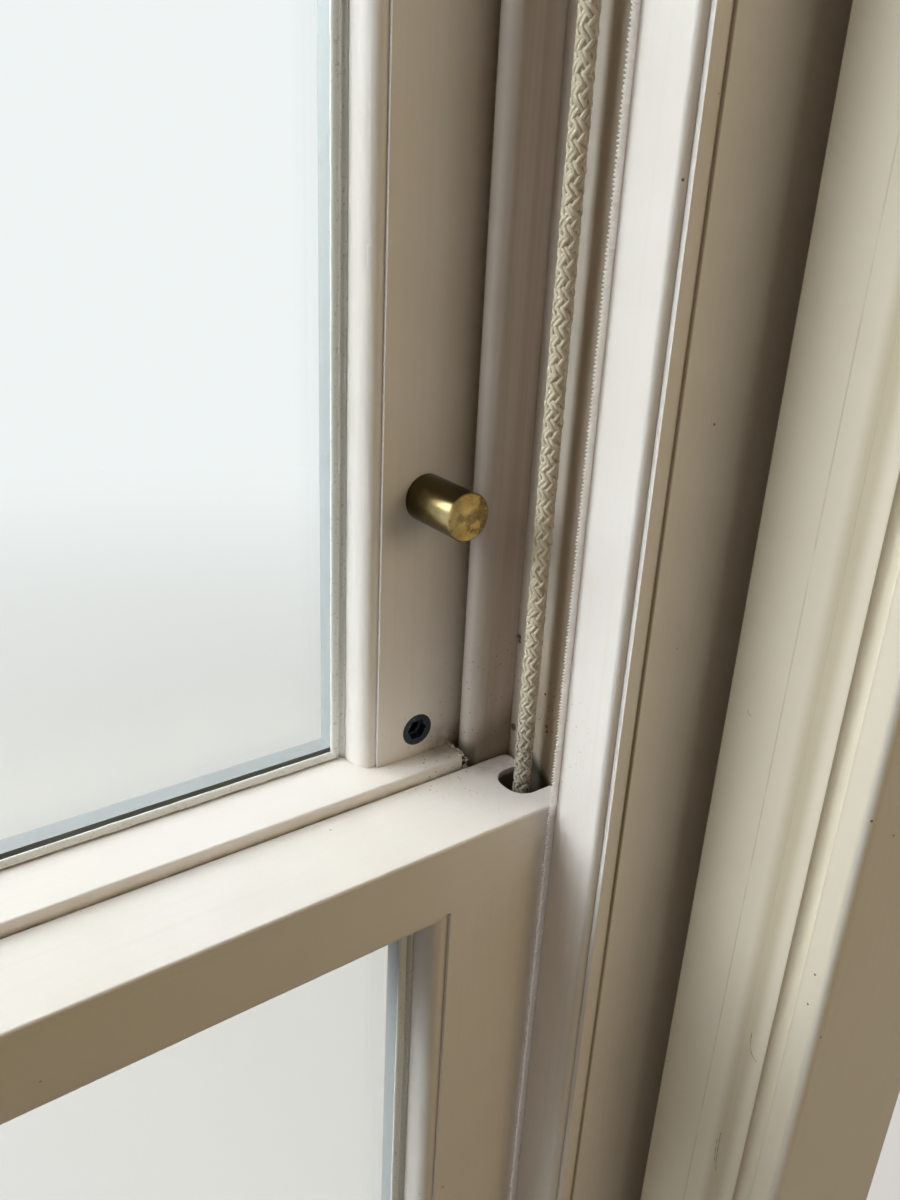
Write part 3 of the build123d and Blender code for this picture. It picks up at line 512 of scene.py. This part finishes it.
# Paint on the timber; places in metres, alike on both sides of the window
paint = {
    "colour": (0.86, 0.832, 0.835),
    "warm": (0.80, 0.745, 0.675),
    "mauve": (0.78, 0.72, 0.715),
    # painted shade on the parting bead's room face
    "beadShadeBrown": (0.52, 0.42, 0.36),
    # grime brown, also laid as painted shade in corners and at the parting bead's foot
    "grimeAndShade": (0.26, 0.21, 0.15),
    "speck": (0.10, 0.07, 0.05),
    # painted shade with dirt inside the cord slot, and painted shade in the gap at the torn rail end
    "slot": (0.13, 0.115, 0.085),
    # painted shadow above the cord slot
    "slotShadow": (0.045, 0.038, 0.028),
    # brown used for painted shade, and for the casing's fine joint
    "shadeAndJointBrown": (0.42, 0.33, 0.23),
    "cream": (0.88, 0.81, 0.665),
    # painted shade of the casing's soft bands
    "bandShade": (0.58, 0.50, 0.35),
    # painted highlight on the casing's arris
    "arrisHighlight": (0.95, 0.92, 0.88),
    "roughness": 0.42,
    "brushDepth": 0.00007,
    "orangeDepth": 0.00005,
    "arris": 0.00035,
    "grain": {"z": (520.0, 520.0, 5.0), "x": (5.0, 520.0, 520.0)},
    "stileFace": 0.380,
    "staffFace": 0.370,
    "staffMiddle": -0.058,
    "sashFront": -0.0465,
    "upperSashFront": 0.0072,
    "cordY": -0.026,
    "dusty": [  # middle and radius of the places with dust and specks
        (0.372, -0.022, 0.800, 0.050),
        (0.345, 0.000, 0.776, 0.030),
        (0.358, 0.004, 0.776, 0.016),
    ],
    "spots": [
        (0.380, -0.0251, 0.8074, 0.0009),
        (0.380, -0.0276, 0.7936, 0.0010),
        (0.380, -0.0282, 0.7915, 0.0009),
        (0.380, -0.0067, 0.8255, 0.0016),
        (0.380, -0.0070, 0.8236, 0.0012),
        (0.380, -0.0076, 0.7832, 0.0022),
    ],
    # darker brown patches
    "brownPatches": [
        (0.359, 0.004, 0.777, 0.012),
        (0.366, -0.008, 0.776, 0.016),
        (0.352, 0.007, 0.776, 0.014),
    ],
}


class Paint(Finish):
    def __init__(self, name, grain, settings):
        super().__init__(name)
        self.settings = settings
        x, self.y, self.z = self.axes()
        self.side = abs(x)
        self.streaks = self.noise(1.0, 3, 0.6, self.stretched(settings["grain"][grain]))
        self.broad = self.noise(7.0, 3, 0.5)
        self.tone = self.noise(19.0, 2, 0.5)
        self.upperHalf = self.z.fade(0.70, 0.75)
        self.colour = settings["colour"]

    def coat(self, share, tint):  # lays a tint over the colour so far
        self.colour = self.blend(share, self.colour, self.settings[tint])

    def near(self, places, full):  # 1 at the middle of each place, 0 outside its radius
        total = None
        for x, y, z, radius in places:
            across, deep, up = self.side - x, self.y - y, self.z - z
            reach = (across * across + deep * deep + up * up) ** 0.5
            inside = reach.until(radius * full, radius)
            total = total.larger(inside) if total else inside
        return total

    def brushedCoat(self):
        self.coat(self.broad.fade(0.38, 0.70) * 0.35, "warm")
        self.coat(self.tone.fade(0.45, 0.75) * 0.25, "mauve")
        self.coat(self.streaks.fade(0.48, 0.75) * 0.3, "warm")

    def cornerShadeAndDirt(self):  # corners darkened by occlusion, which is painted shade with grime, in all corners but those of the staff bead's flat; then darker brown patches
        corner = self.node("AmbientOcclusion", {"samples": 4}, {"Distance": 0.004}, out=1)
        flat = self.side.within(self.settings["staffFace"], 0.0006, 0.0014)
        flat = flat * self.y.within(self.settings["staffMiddle"], 0.0108, 0.0120)
        # painted shade: ambient occlusion darkens the corners with grime brown, and the same mask roughens
        # the paint
        self.dirt = corner.until(0.15, 0.6) * self.noise(240.0, 4, 0.65).fade(0.30, 0.62) * (1 - flat)
        self.coat(self.dirt * 0.6, "grimeAndShade")
        # darker brown patches near the meeting rail's torn end and the parting bead's foot
        brownPatches = self.near(self.settings["brownPatches"], 0.1) * self.noise(150.0, 3, 0.6).fade(0.25, 0.65)
        self.coat(brownPatches * 0.6, "grimeAndShade")

    def stileShade(self):  # painted shade: brown on the pulley stile beside the pile, and a painted shadow above the cord slot
        stile = self.side.within(self.settings["stileFace"], 0.0002, 0.0008)
        cordY = self.settings["cordY"]
        # painted shade on the pulley stile beside the cord and the pile
        self.coat(stile * self.y.within(cordY, 0.0200, 0.0215) * 0.4, "shadeAndJointBrown")
        edge = stile * self.y.until(-0.0280, -0.0235) * (0.75 + self.streaks * 0.5)
        self.coat(edge * 0.55, "shadeAndJointBrown")
        lowBand = stile * self.z.until(0.80, 0.90) * self.y.until(-0.0190, -0.0150) * self.upperHalf
        self.coat(lowBand * (0.25 + self.tone * 0.5), "shadeAndJointBrown")
        rise = self.z - (self.y + 0.018) * 0.75  # the painted shadow's top slopes down towards the room
        slotShadow = stile * self.y.within(cordY, 0.0085, 0.0120) * rise.until(0.7760, 0.7830) * self.upperHalf
        self.coat(slotShadow * 0.92, "slotShadow")

    def beadShade(self):  # painted shade: the parting bead's room face darkened brown, most of all at its foot
        wide = self.noise(1.0, 2, 0.5, self.stretched((170.0, 170.0, 3.0)))
        bead = self.y.within(0.0, 0.0056, 0.0060) * self.side.fade(0.3575, 0.3605)
        self.coat(bead * (0.35 + wide.fade(0.35, 0.65) * 0.4 + self.streaks * 0.15), "beadShadeBrown")
        foot = bead * (self.z - self.side * 0.6).until(0.5560, 0.5760) * self.upperHalf
        self.coat(foot * (0.55 + self.tone * 0.4), "grimeAndShade")

    def sashShade(self):  # painted shade: a shadow on the lower stile's front beside the staff bead, a dark gap at the torn end of the meeting rail, and shade on the upper stile's face beside the parting bead
        edge = self.y.within(self.settings["sashFront"], 0.0003, 0.0008) * self.side.fade(0.3640, 0.3780)
        self.coat(edge * 0.5, "shadeAndJointBrown")
        gap = self.side.fade(0.3560, 0.3568) * self.side.until(0.3608, 0.3630)
        gap = gap * self.y.within(0.0, 0.0060, 0.0080) * self.z.within(0.7690, 0.0070, 0.0130)
        self.coat(gap * (0.55 + self.broad * 0.6), "slot")
        beside = self.y.within(self.settings["upperSashFront"], 0.0004, 0.0008)
        beside = beside * self.side.fade(0.338, 0.362) * self.z.fade(0.770, 0.772)
        self.coat(beside * (0.20 + self.broad * 0.3), "shadeAndJointBrown")

    def casingTonesAndPaintedLight(self):  # reveal and casing: warmer, with soft bands of painted shade, a fine dark joint and a painted highlight on the arris
        casing = self.side.fade(0.4155, 0.4163) * self.side.until(0.4195, 0.4205)
        casing = casing * self.y.until(-0.0860, -0.0855)
        arris = self.y.until(-0.1478, -0.1468)
        shadeBands = self.y.within(-0.1220, 0.0015, 0.0070) * 0.70 + self.y.within(-0.1350, 0.0030, 0.0050) * 0.3
        joint = self.y.within(-0.1086, 0.0001, 0.0005) * self.noise(40.0, 3).fade(0.35, 0.55)
        self.coat(casing * (1 - arris) * 0.75, "cream")
        self.coat(casing * shadeBands, "bandShade")
        self.coat(casing * joint * 0.30, "shadeAndJointBrown")
        self.coat(casing * arris * 0.85, "arrisHighlight")

    def specks(self):
        dust = self.cells(420.0).until(0.09, 0.20) * self.near(self.settings["dusty"], 0.3)
        self.coat(dust * self.noise(900.0, 1).fade(0.42, 0.52) * 0.85, "speck")
        seam = self.side.within(0.3795, 0.0006, 0.0016)  # joint of staff bead and lining
        rare = self.noise(31.0, 1, 0.5).fade(0.60, 0.68) + seam * self.noise(55.0, 2).fade(0.56, 0.62)
        speck = self.cells(95.0).until(0.03, 0.06) * rare
        self.coat(speck.fade(0.2, 0.6) * 0.85, "speck")
        self.coat(self.near(self.settings["spots"], 0.5) * 0.85, "speck")

    def slotShadeAndDirt(self):
        # painted shade with dirt: the inside of the cord slot darkened
        inSlot = self.side.fade(0.3606, 0.3610) * self.y.within(self.settings["cordY"], 0.0096, 0.0098)
        inSlot = inSlot * self.z.until(0.7670, 0.7702) * self.y.until(0, 0.001)
        self.coat(inSlot * 0.9, "slot")

    def finished(self):
        soft = self.softEdge(self.settings["arris"])
        relief = self.bump(self.streaks, self.settings["brushDepth"], 0.6, soft)
        relief = self.bump(self.noise(330.0, 2, 0.5), self.settings["orangeDepth"], 0.5, relief)
        # the corner mask (painted shade with grime) also roughens the paint
        rough = self.settings["roughness"] + self.streaks * 0.14 + self.dirt * 0.2
        return self.set(colour=self.colour, roughness=rough, specular=0.15, normal=relief).material


def paintFinish(name, grain, settings):
    p = Paint(name, grain, settings)
    p.brushedCoat()
    p.cornerShadeAndDirt()
    p.stileShade()
    p.beadShade()
    p.sashShade()
    p.casingTonesAndPaintedLight()
    p.specks()
    p.slotShadeAndDirt()
    return p.finished()


# Bare softwood inside the boxes
timber = {
    "light": (0.64, 0.47, 0.29),
    "dark": (0.47, 0.31, 0.17),
    "roughness": 0.62,
}


def timberFinish(settings):
    f = Finish("bare_timber")
    rings = f.noise(1.0, 4, 0.6, f.stretched((90.0, 90.0, 2.4)))
    pores = f.noise(1.0, 2, 0.6, f.stretched((900.0, 900.0, 26.0)))
    colour = f.blend(rings.fade(0.38, 0.62), settings["light"], settings["dark"])
    colour = f.blend(pores.fade(0.55, 0.75) * 0.3, colour, settings["dark"])
    f.set(colour=colour, roughness=settings["roughness"] + pores * 0.2, specular=0.3)
    return f.set(normal=f.bump(rings * 0.5 + pores * 0.5, 0.0002, 0.6)).material


# Clear panes, which let the lamps through
glass = {
    "colour": (0.965, 0.985, 0.975),
    "shadow": (0.94, 0.965, 0.955),
}


def glassFinish(settings):
    f = Finish("clear_glass")
    smear = f.noise(14.0, 4, 0.6)
    f.set(colour=settings["colour"], roughness=smear.fade(0.55, 0.9) * 0.03, transmission=1.0, ior=1.5)
    through = f.node("BsdfTransparent", {}, (settings["shadow"],))
    f.show(f.mixShaders(f.ray("Shadow"), f.surface(), through))
    return f.material


# Metals
metal = {
    "brass": (0.46, 0.37, 0.18),
    "brassDark": (0.060, 0.044, 0.017),
    "brassStain": (0.10, 0.050, 0.015),
    "brassOlive": (0.20, 0.145, 0.045),
    "brassGold": (0.38, 0.235, 0.060),
    "brassBright": (0.50, 0.33, 0.10),
    "stopHighlight": 0.8885,  # height of the painted highlight line on the stop's round side, in metres
    "stopStained": 0.8860,  # height of most stains on its end face
    "zinc": (0.045, 0.055, 0.075),
    "zincWorn": (0.30, 0.32, 0.35),
    "iron": (0.115, 0.11, 0.105),
    "ironDark": (0.05, 0.045, 0.04),
    "rust": (0.22, 0.10, 0.05),
    "steel": (0.56, 0.56, 0.55),
    "steelDull": (0.30, 0.29, 0.27),
    "pulleyBrass": (0.66, 0.47, 0.17),
    "spacer": (0.37, 0.405, 0.42),
    "spacerHoles": (0.22, 0.26, 0.29),
    "wornEdge": 0.0004,
}


def agedBrassFinish():
    f = Finish("aged_brass")
    broad = f.noise(95.0, 4, 0.6)
    blot = f.noise(230.0, 4, 0.65)
    x, y, z = f.axes()
    side = abs(x)
    tip = y.until(-0.0198, -0.0188)  # the stop's end face, towards the room
    # painted shade and highlight: the round side is darkest at its back, top and bottom, and lightest along
    # one line
    colour = f.blend(broad.fade(0.40, 0.66) * 0.4, metal["brass"], metal["brassDark"])
    shaded = y.fade(-0.014, 0.002).larger(abs(z - metal["stopHighlight"]).fade(0.0015, 0.0065))
    colour = f.blend(shaded * 0.92, colour, metal["brassDark"])
    face = f.blend(blot.fade(0.40, 0.60), metal["brassBright"], metal["brassGold"])
    face = f.blend(side.until(0.3350, 0.3395) * 0.7, face, metal["brassOlive"])
    # stains, most of them on the side towards the frame
    stain = f.noise(190.0, 4, 0.6) + side.fade(0.336, 0.346) * 0.12
    stain = stain - abs(z - metal["stopStained"]).fade(0.001, 0.008) * 0.10
    face = f.blend(stain.fade(0.52, 0.64) * 0.85, face, metal["brassStain"])
    colour = f.blend(tip, colour, face)
    colour = f.blend(f.noise(620.0, 3, 0.6).fade(0.62, 0.72) * 0.4, colour, metal["brassStain"])
    rough = 0.15 + broad * 0.10 + blot.fade(0.5, 0.7) * 0.07 + tip * 0.08
    turned = f.noise(1.0, 2, 0.5, f.stretched((60.0, 4200.0, 60.0)))
    relief = f.bump(turned * 0.5 + blot * 0.5, 0.00004, 0.5, f.softEdge(metal["wornEdge"]))
    return f.set(colour=colour, metallic=1.0, roughness=rough, normal=relief).material


def darkZincFinish():
    f = Finish("dark_zinc")
    edge = f.noise(420.0, 4, 0.7).fade(0.58, 0.70)
    colour = f.blend(edge * 0.6, metal["zinc"], metal["zincWorn"])
    relief = f.bump(f.noise(900.0), 0.00005, 0.4, f.softEdge(metal["wornEdge"]))
    return f.set(colour=colour, metallic=0.75, roughness=0.33 + edge * 0.25, normal=relief).material


def castFinish(name, depth):
    f = Finish(name)
    grain = f.noise(420.0, 4, 0.6)
    rust = f.noise(38.0, 4, 0.65).fade(0.48, 0.68)
    tone = f.blend(rust * 0.7, metal["iron"], metal["rust"])
    tone = f.blend(grain.fade(0.45, 0.75) * 0.4, tone, metal["ironDark"])
    f.set(colour=tone, metallic=0.35, roughness=0.55 + grain * 0.3)
    return f.set(normal=f.bump(grain, depth, 0.7)).material


def brightFinish(name, colour, dull):
    f = Finish(name)
    wear = f.noise(160.0, 4, 0.6)
    tone = f.blend(wear.fade(0.45, 0.7) * 0.6, colour, dull)
    f.set(colour=tone, metallic=1.0, roughness=0.28 + wear * 0.25)
    return f.set(normal=f.bump(f.noise(1400.0, 2), 0.00003, 0.4)).material


def spacerFinish():
    f = Finish("spacer")
    holes = f.noise(700.0, 3, 0.6)
    tone = f.blend(holes.fade(0.55, 0.75) * 0.4, metal["spacer"], metal["spacerHoles"])
    f.set(colour=tone, metallic=0.2, roughness=0.5 + holes * 0.15)
    return f.set(normal=f.bump(holes, 0.00008, 0.4)).material


def dressNodes():
    upright = paintFinish("paint_upright", "z", paint)
    across = paintFinish("paint_across", "x", paint)
    bySlot = {
        "bare_timber": timberFinish(timber),
        "clear_glass": glassFinish(glass),
        "spacer": spacerFinish(),
        "aged_brass": agedBrassFinish(),
        "dark_zinc": darkZincFinish(),
        "cast_weight": castFinish("cast_weight", 0.0004),
        "pulley_iron": castFinish("pulley_iron", 0.0001),
        "pulley_brass": brightFinish("pulley_brass", metal["pulleyBrass"], metal["brassDark"]),
        "bright_steel": brightFinish("bright_steel", metal["steel"], metal["steelDull"]),
        "cotton_cord": cottonMaterial,
        "brush_pile": pileMaterial,
    }
    levelEnds = ("head", "sill", "rail", "board")  # pieces whose grain runs across
    for part in frame["record"]["subparts"]:
        painted = across if part["node"].endswith(levelEnds) else upright
        materials = frame["nodes"][part["node"]].data.materials
        materials.clear()
        materials.append(bySlot.get(part["material_slot"], painted))


dressNodes()
print("finishes on", len(frame["nodes"]), "nodes")

# Glazing strips on the room side of the panes; lengths in mm
strip = {
    "colour": (0.84, 0.86, 0.85),
    "dirt": (0.30, 0.28, 0.23),
    "tape": [(2.6, 0.0), (5.4, 0.0), (5.3, -0.55), (4.7, -1.15), (3.6, -1.75), (2.9, -1.8), (2.6, -1.6)],
    "putty": [(0.0, 0.0), (2.05, 0.0), (2.0, -0.5), (1.5, -1.3), (0.6, -2.3), (0.0, -2.6)],
    "railShift": -2.0,  # nearer the meeting rails, which have no moulding
    "sightX": 313.8,
    "lengths": 160,  # along each side
    "wobble": 0.06,  # share of the section
}
stripPlaces = {
    # name: (body, pane's room face, low sight line, high sight line, shift low, shift high)
    "upper_glazing_strip": ("upper_sash", 23.2, 775.0, 1381.8, True, False),
    "lower_glazing_strip": ("lower_sash", -30.5, 151.7, 739.1, False, True),
}


def stripFinish(settings):
    f = Finish("glazing_strip")
    mottle = f.noise(900.0, 4, 0.65)
    colour = f.blend(mottle.fade(0.56, 0.72) * 0.5, settings["colour"], settings["dirt"])
    f.set(colour=colour, roughness=0.45 + mottle * 0.2, specular=0.4)
    return f.set(normal=f.bump(f.noise(260.0, 3), 0.0001, 0.6)).material


def stripCorners(settings, profile, whole, face, levels):  # the section at each corner of the pane
    corners = []
    for hand, end in ((-1, 0), (1, 0), (1, 1), (-1, 1)):
        sight, shifted = levels[end]
        ring = []
        for out, y in profile:
            if whole:
                inset = out + settings["railShift"] * shifted
            else:
                inset = 0.0 if shifted else out
            z = sight - inset if end else sight + inset
            ring.append([hand * (settings["sightX"] - out), face + y, z])
        corners.append(np.array(ring))
    return corners


def stripSide(points, faces, dice, settings, a, b, face):  # one straight run between two corners
    count, n = settings["lengths"], len(a)
    start = len(points)
    for k in range(count + 1):
        ring = a + (b - a) * k / count
        wave = 0.0 if k in (0, count) else dice.uniform(-1, 1) * settings["wobble"]
        middle = (ring[0] + ring[1]) / 2
        ring = middle + (ring - middle) * (1 + wave)
        ring[:, 1] = np.minimum(ring[:, 1], face)
        points.extend((ring * mm).tolist())
    for k in range(count):
        for i in range(n):
            j = (i + 1) % n
            p = start + k * n
            faces.append([p + i, p + j, p + n + j, p + n + i])
    faces.append([start + i for i in range(n - 1, -1, -1)])
    faces.append([start + count * n + i for i in range(n)])


def makeStrips(settings):
    finish = stripFinish(settings)
    dice = random.Random(7)
    for name, (body, face, low, high, shiftLow, shiftHigh) in stripPlaces.items():
        points, faces = [], []
        levels = ((low, shiftLow), (high, shiftHigh))
        for profile, whole in ((settings["tape"], True), (settings["putty"], False)):
            corners = stripCorners(settings, profile, whole, face, levels)
            # the putty leaves out the side at the meeting rail
            for side in range(4) if whole else (1, 3, 2 if shiftLow else 0):
                stripSide(points, faces, dice, settings, corners[side], corners[(side + 1) % 4], face)
        piece = makePiece(name, points, faces, finish)
        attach(piece, body)


makeStrips(strip)
print("glazing strips laid")

# Splinters and paint flakes at the torn end of the upper meeting rail; lengths in mm
tear = {
    "wood": (0.62, 0.52, 0.38),
    "edge": 356.4,
    "limit": 357.9,
    "front": -5.2,
    "back": 6.8,
    "top": 775.0,
    "flakes": 110,
    "corners": 5,
    "half": 0.09,  # of a flake's thickness
}


def flakeFinish(settings):
    f = Finish("paint_flakes")
    mottle = f.noise(800.0, 3, 0.6)
    colour = f.blend(mottle.fade(0.52, 0.6) * 0.8, paint["colour"], settings["wood"])
    f.set(colour=colour, roughness=0.6 + mottle * 0.2, normal=f.bump(mottle, 0.0002, 0.6))
    return f.material


def flakeCentre(dice, settings, onTop):  # on the rail's top edge, or down its front edge
    edge, front, top = settings["edge"], settings["front"], settings["top"]
    if onTop:
        return Vector((edge + dice.uniform(-1.4, 1.0), dice.uniform(front + 0.3, settings["back"]),
                       top + dice.uniform(-0.5, 0.45)))
    return Vector((edge + dice.uniform(-0.8, 1.0), front + dice.uniform(-0.1, 0.4),
                   top - dice.uniform(0.2, 11.0)))


def makeFlakes(settings):
    dice = random.Random(12)
    points, faces = [], []
    corners = settings["corners"]
    for k in range(settings["flakes"]):
        centre = flakeCentre(dice, settings, k % 3 > 0)
        spin = Vector((dice.uniform(-1, 1), dice.uniform(-1, 1), dice.uniform(-1, 1))).normalized()
        other = spin.orthogonal().normalized()
        third = spin.cross(other)
        size = dice.uniform(0.4, 1.5)
        start = len(points)
        for layer in (-settings["half"], settings["half"]):
            for i in range(corners):
                turn = 2 * math.pi * i / corners
                reach = size * (0.6 + 0.4 * math.sin(3.1 * i + k))
                corner = centre + (other * math.cos(turn) + third * math.sin(turn)) * reach + spin * layer
                corner.x = min(corner.x, settings["limit"])
                corner.y = max(corner.y, settings["front"] - 0.4)
                points.append([c * mm for c in corner])
        faces.append([start + i for i in range(corners - 1, -1, -1)])
        faces.append([start + corners + i for i in range(corners)])
        for i in range(corners):
            j = (i + 1) % corners
            faces.append([start + i, start + j, start + corners + j, start + corners + i])
    piece = makePiece("rail_end_flakes", points, faces, flakeFinish(settings), smooth=False)
    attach(piece, "upper_sash")


makeFlakes(tear)
print("torn rail end roughened")

# Fine dark scratches on the reveal, as (y, z) in mm
scratch = {
    "colour": (0.20, 0.14, 0.09),
    "x": 416.47,
    "width": 0.28,
    "depth": 0.1,
    "lines": [
        [(-123.8, 689.4), (-124.0, 686.0), (-124.3, 683.2), (-125.2, 680.6), (-126.4, 678.9),
         (-128.6, 677.8)],
        [(-119.7, 628.6), (-119.9, 620.7), (-120.2, 613.4), (-121.1, 607.3)],
        [(-118.7, 623.9), (-119.0, 618.0), (-119.5, 611.2)],
        [(-94.7, 823.3), (-95.2, 822.1), (-96.4, 821.6)],
    ],
}


def makeScratches(settings):
    f = Finish("scratch")
    colour = f.blend(f.noise(500.0, 3, 0.6).fade(0.4, 0.7) * 0.6, settings["colour"], paint["warm"])
    f.set(colour=colour, roughness=0.7, specular=0.1)
    tubes = Tubes()
    for line in settings["lines"]:
        middle = np.array([[settings["x"], y, z] for y, z in line])
        along = unit(np.gradient(middle, axis=0))
        out = np.broadcast_to(np.array([-1.0, 0.0, 0.0]), middle.shape)
        tubes.tube(middle, unit(np.cross(along, out)), out, settings["width"], settings["depth"], 4)
    points, faces = tubes.mesh()
    piece = makePiece("reveal_scratches", points.tolist(), faces, f.material)
    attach(piece, "frame")


makeScratches(scratch)
print("scratches drawn")

# Room light, daylight and floor
studio = {
    "room": (0.150, 0.118, 0.070),
    "pale": (0.93, 0.94, 0.95),
    "floor": (0.80, 0.79, 0.77),
    "floorCloud": (0.76, 0.75, 0.73),
    "floorGlow": 0.4,
    "bounce": (0.145, 0.115, 0.075),
    "half": 9.0,  # of the floor's width, in metres
}
lamps = {
    "key": {"place": (-2.0, 0.75, 2.3), "aim": (0.37, -0.05, 0.95), "size": 1.9, "power": 58.0,
            "colour": (1.0, 0.965, 0.985), "mirrored": False},
    "sky": {"place": (-0.5, 2.0, 2.9), "aim": (0.0, 0.0, 0.8), "size": 2.0, "power": 20.0,
            "colour": (0.97, 0.96, 1.0), "mirrored": True},
    "glint": {"place": (-0.95, 1.81, 1.83), "aim": (0.34, 0.0, 0.89), "size": 1.0, "power": 21.0,
              "colour": (1.0, 0.965, 0.965), "mirrored": True},  # for the brass, through the pane
    "fill": {"place": (0.95, -1.5, 1.35), "aim": (0.4, -0.07, 0.95), "size": 0.7, "power": 4.6,
             "colour": (1.0, 0.80, 0.45), "mirrored": False},
}


def placeLamp(name, settings):
    data = bpy.data.lights.new(name, "AREA")
    data.shape = "DISK"
    data.size = settings["size"]
    data.energy = settings["power"]
    data.color = settings["colour"]
    data.cycles.use_multiple_importance_sampling = name != "glint"  # else the brass misses it
    light = bpy.data.objects.new(name, data)
    light.location = settings["place"]
    way = Vector(settings["aim"]) - Vector(settings["place"])
    light.rotation_euler = way.to_track_quat("-Z", "Y").to_euler()
    light.visible_camera = False
    light.visible_transmission = False
    light.visible_glossy = settings["mirrored"]
    bpy.context.scene.collection.objects.link(light)


def lightWorld(settings):
    world = bpy.data.worlds.new("room")
    world.use_nodes = True
    bpy.context.scene.world = world
    w = Nodes(world.node_tree, "World Output")
    room = w.node("Background", {}, (settings["room"],))
    pale = w.node("Background", {}, (settings["pale"],))
    w.show(w.mixShaders(w.seen(), room, pale))


def layFloor(settings):
    f = Finish("floor")
    colour = f.blend(f.noise(1.5, 2) * 0.2, settings["floor"], settings["floorCloud"])
    f.set(colour=colour, roughness=0.9, specular=0.1)
    glow = f.node("Emission", {}, (settings["pale"], 1.0))
    x, y, z = f.axes()
    far = ((x * x + y * y) ** 0.5).fade(0.8, 3.2)
    share = settings["floorGlow"] + far * (1 - settings["floorGlow"])
    pale = f.mixShaders(share, f.surface(), glow)
    dim = f.node("BsdfDiffuse", {}, (settings["bounce"],))  # little light comes back up
    f.show(f.mixShaders(f.seen(), dim, pale))
    half = settings["half"]
    corners = [(-half, -half, 0), (half, -half, 0), (half, half, 0), (-half, half, 0)]
    mesh = bpy.data.meshes.new("floor")
    mesh.from_pydata(corners, [], [(0, 1, 2, 3)])
    mesh.materials.append(f.material)
    floor = bpy.data.objects.new("floor", mesh)
    bpy.context.scene.collection.objects.link(floor)


for name, settings in lamps.items():
    placeLamp(name, settings)
lightWorld(studio)
layFloor(studio)
print("lights and floor set")
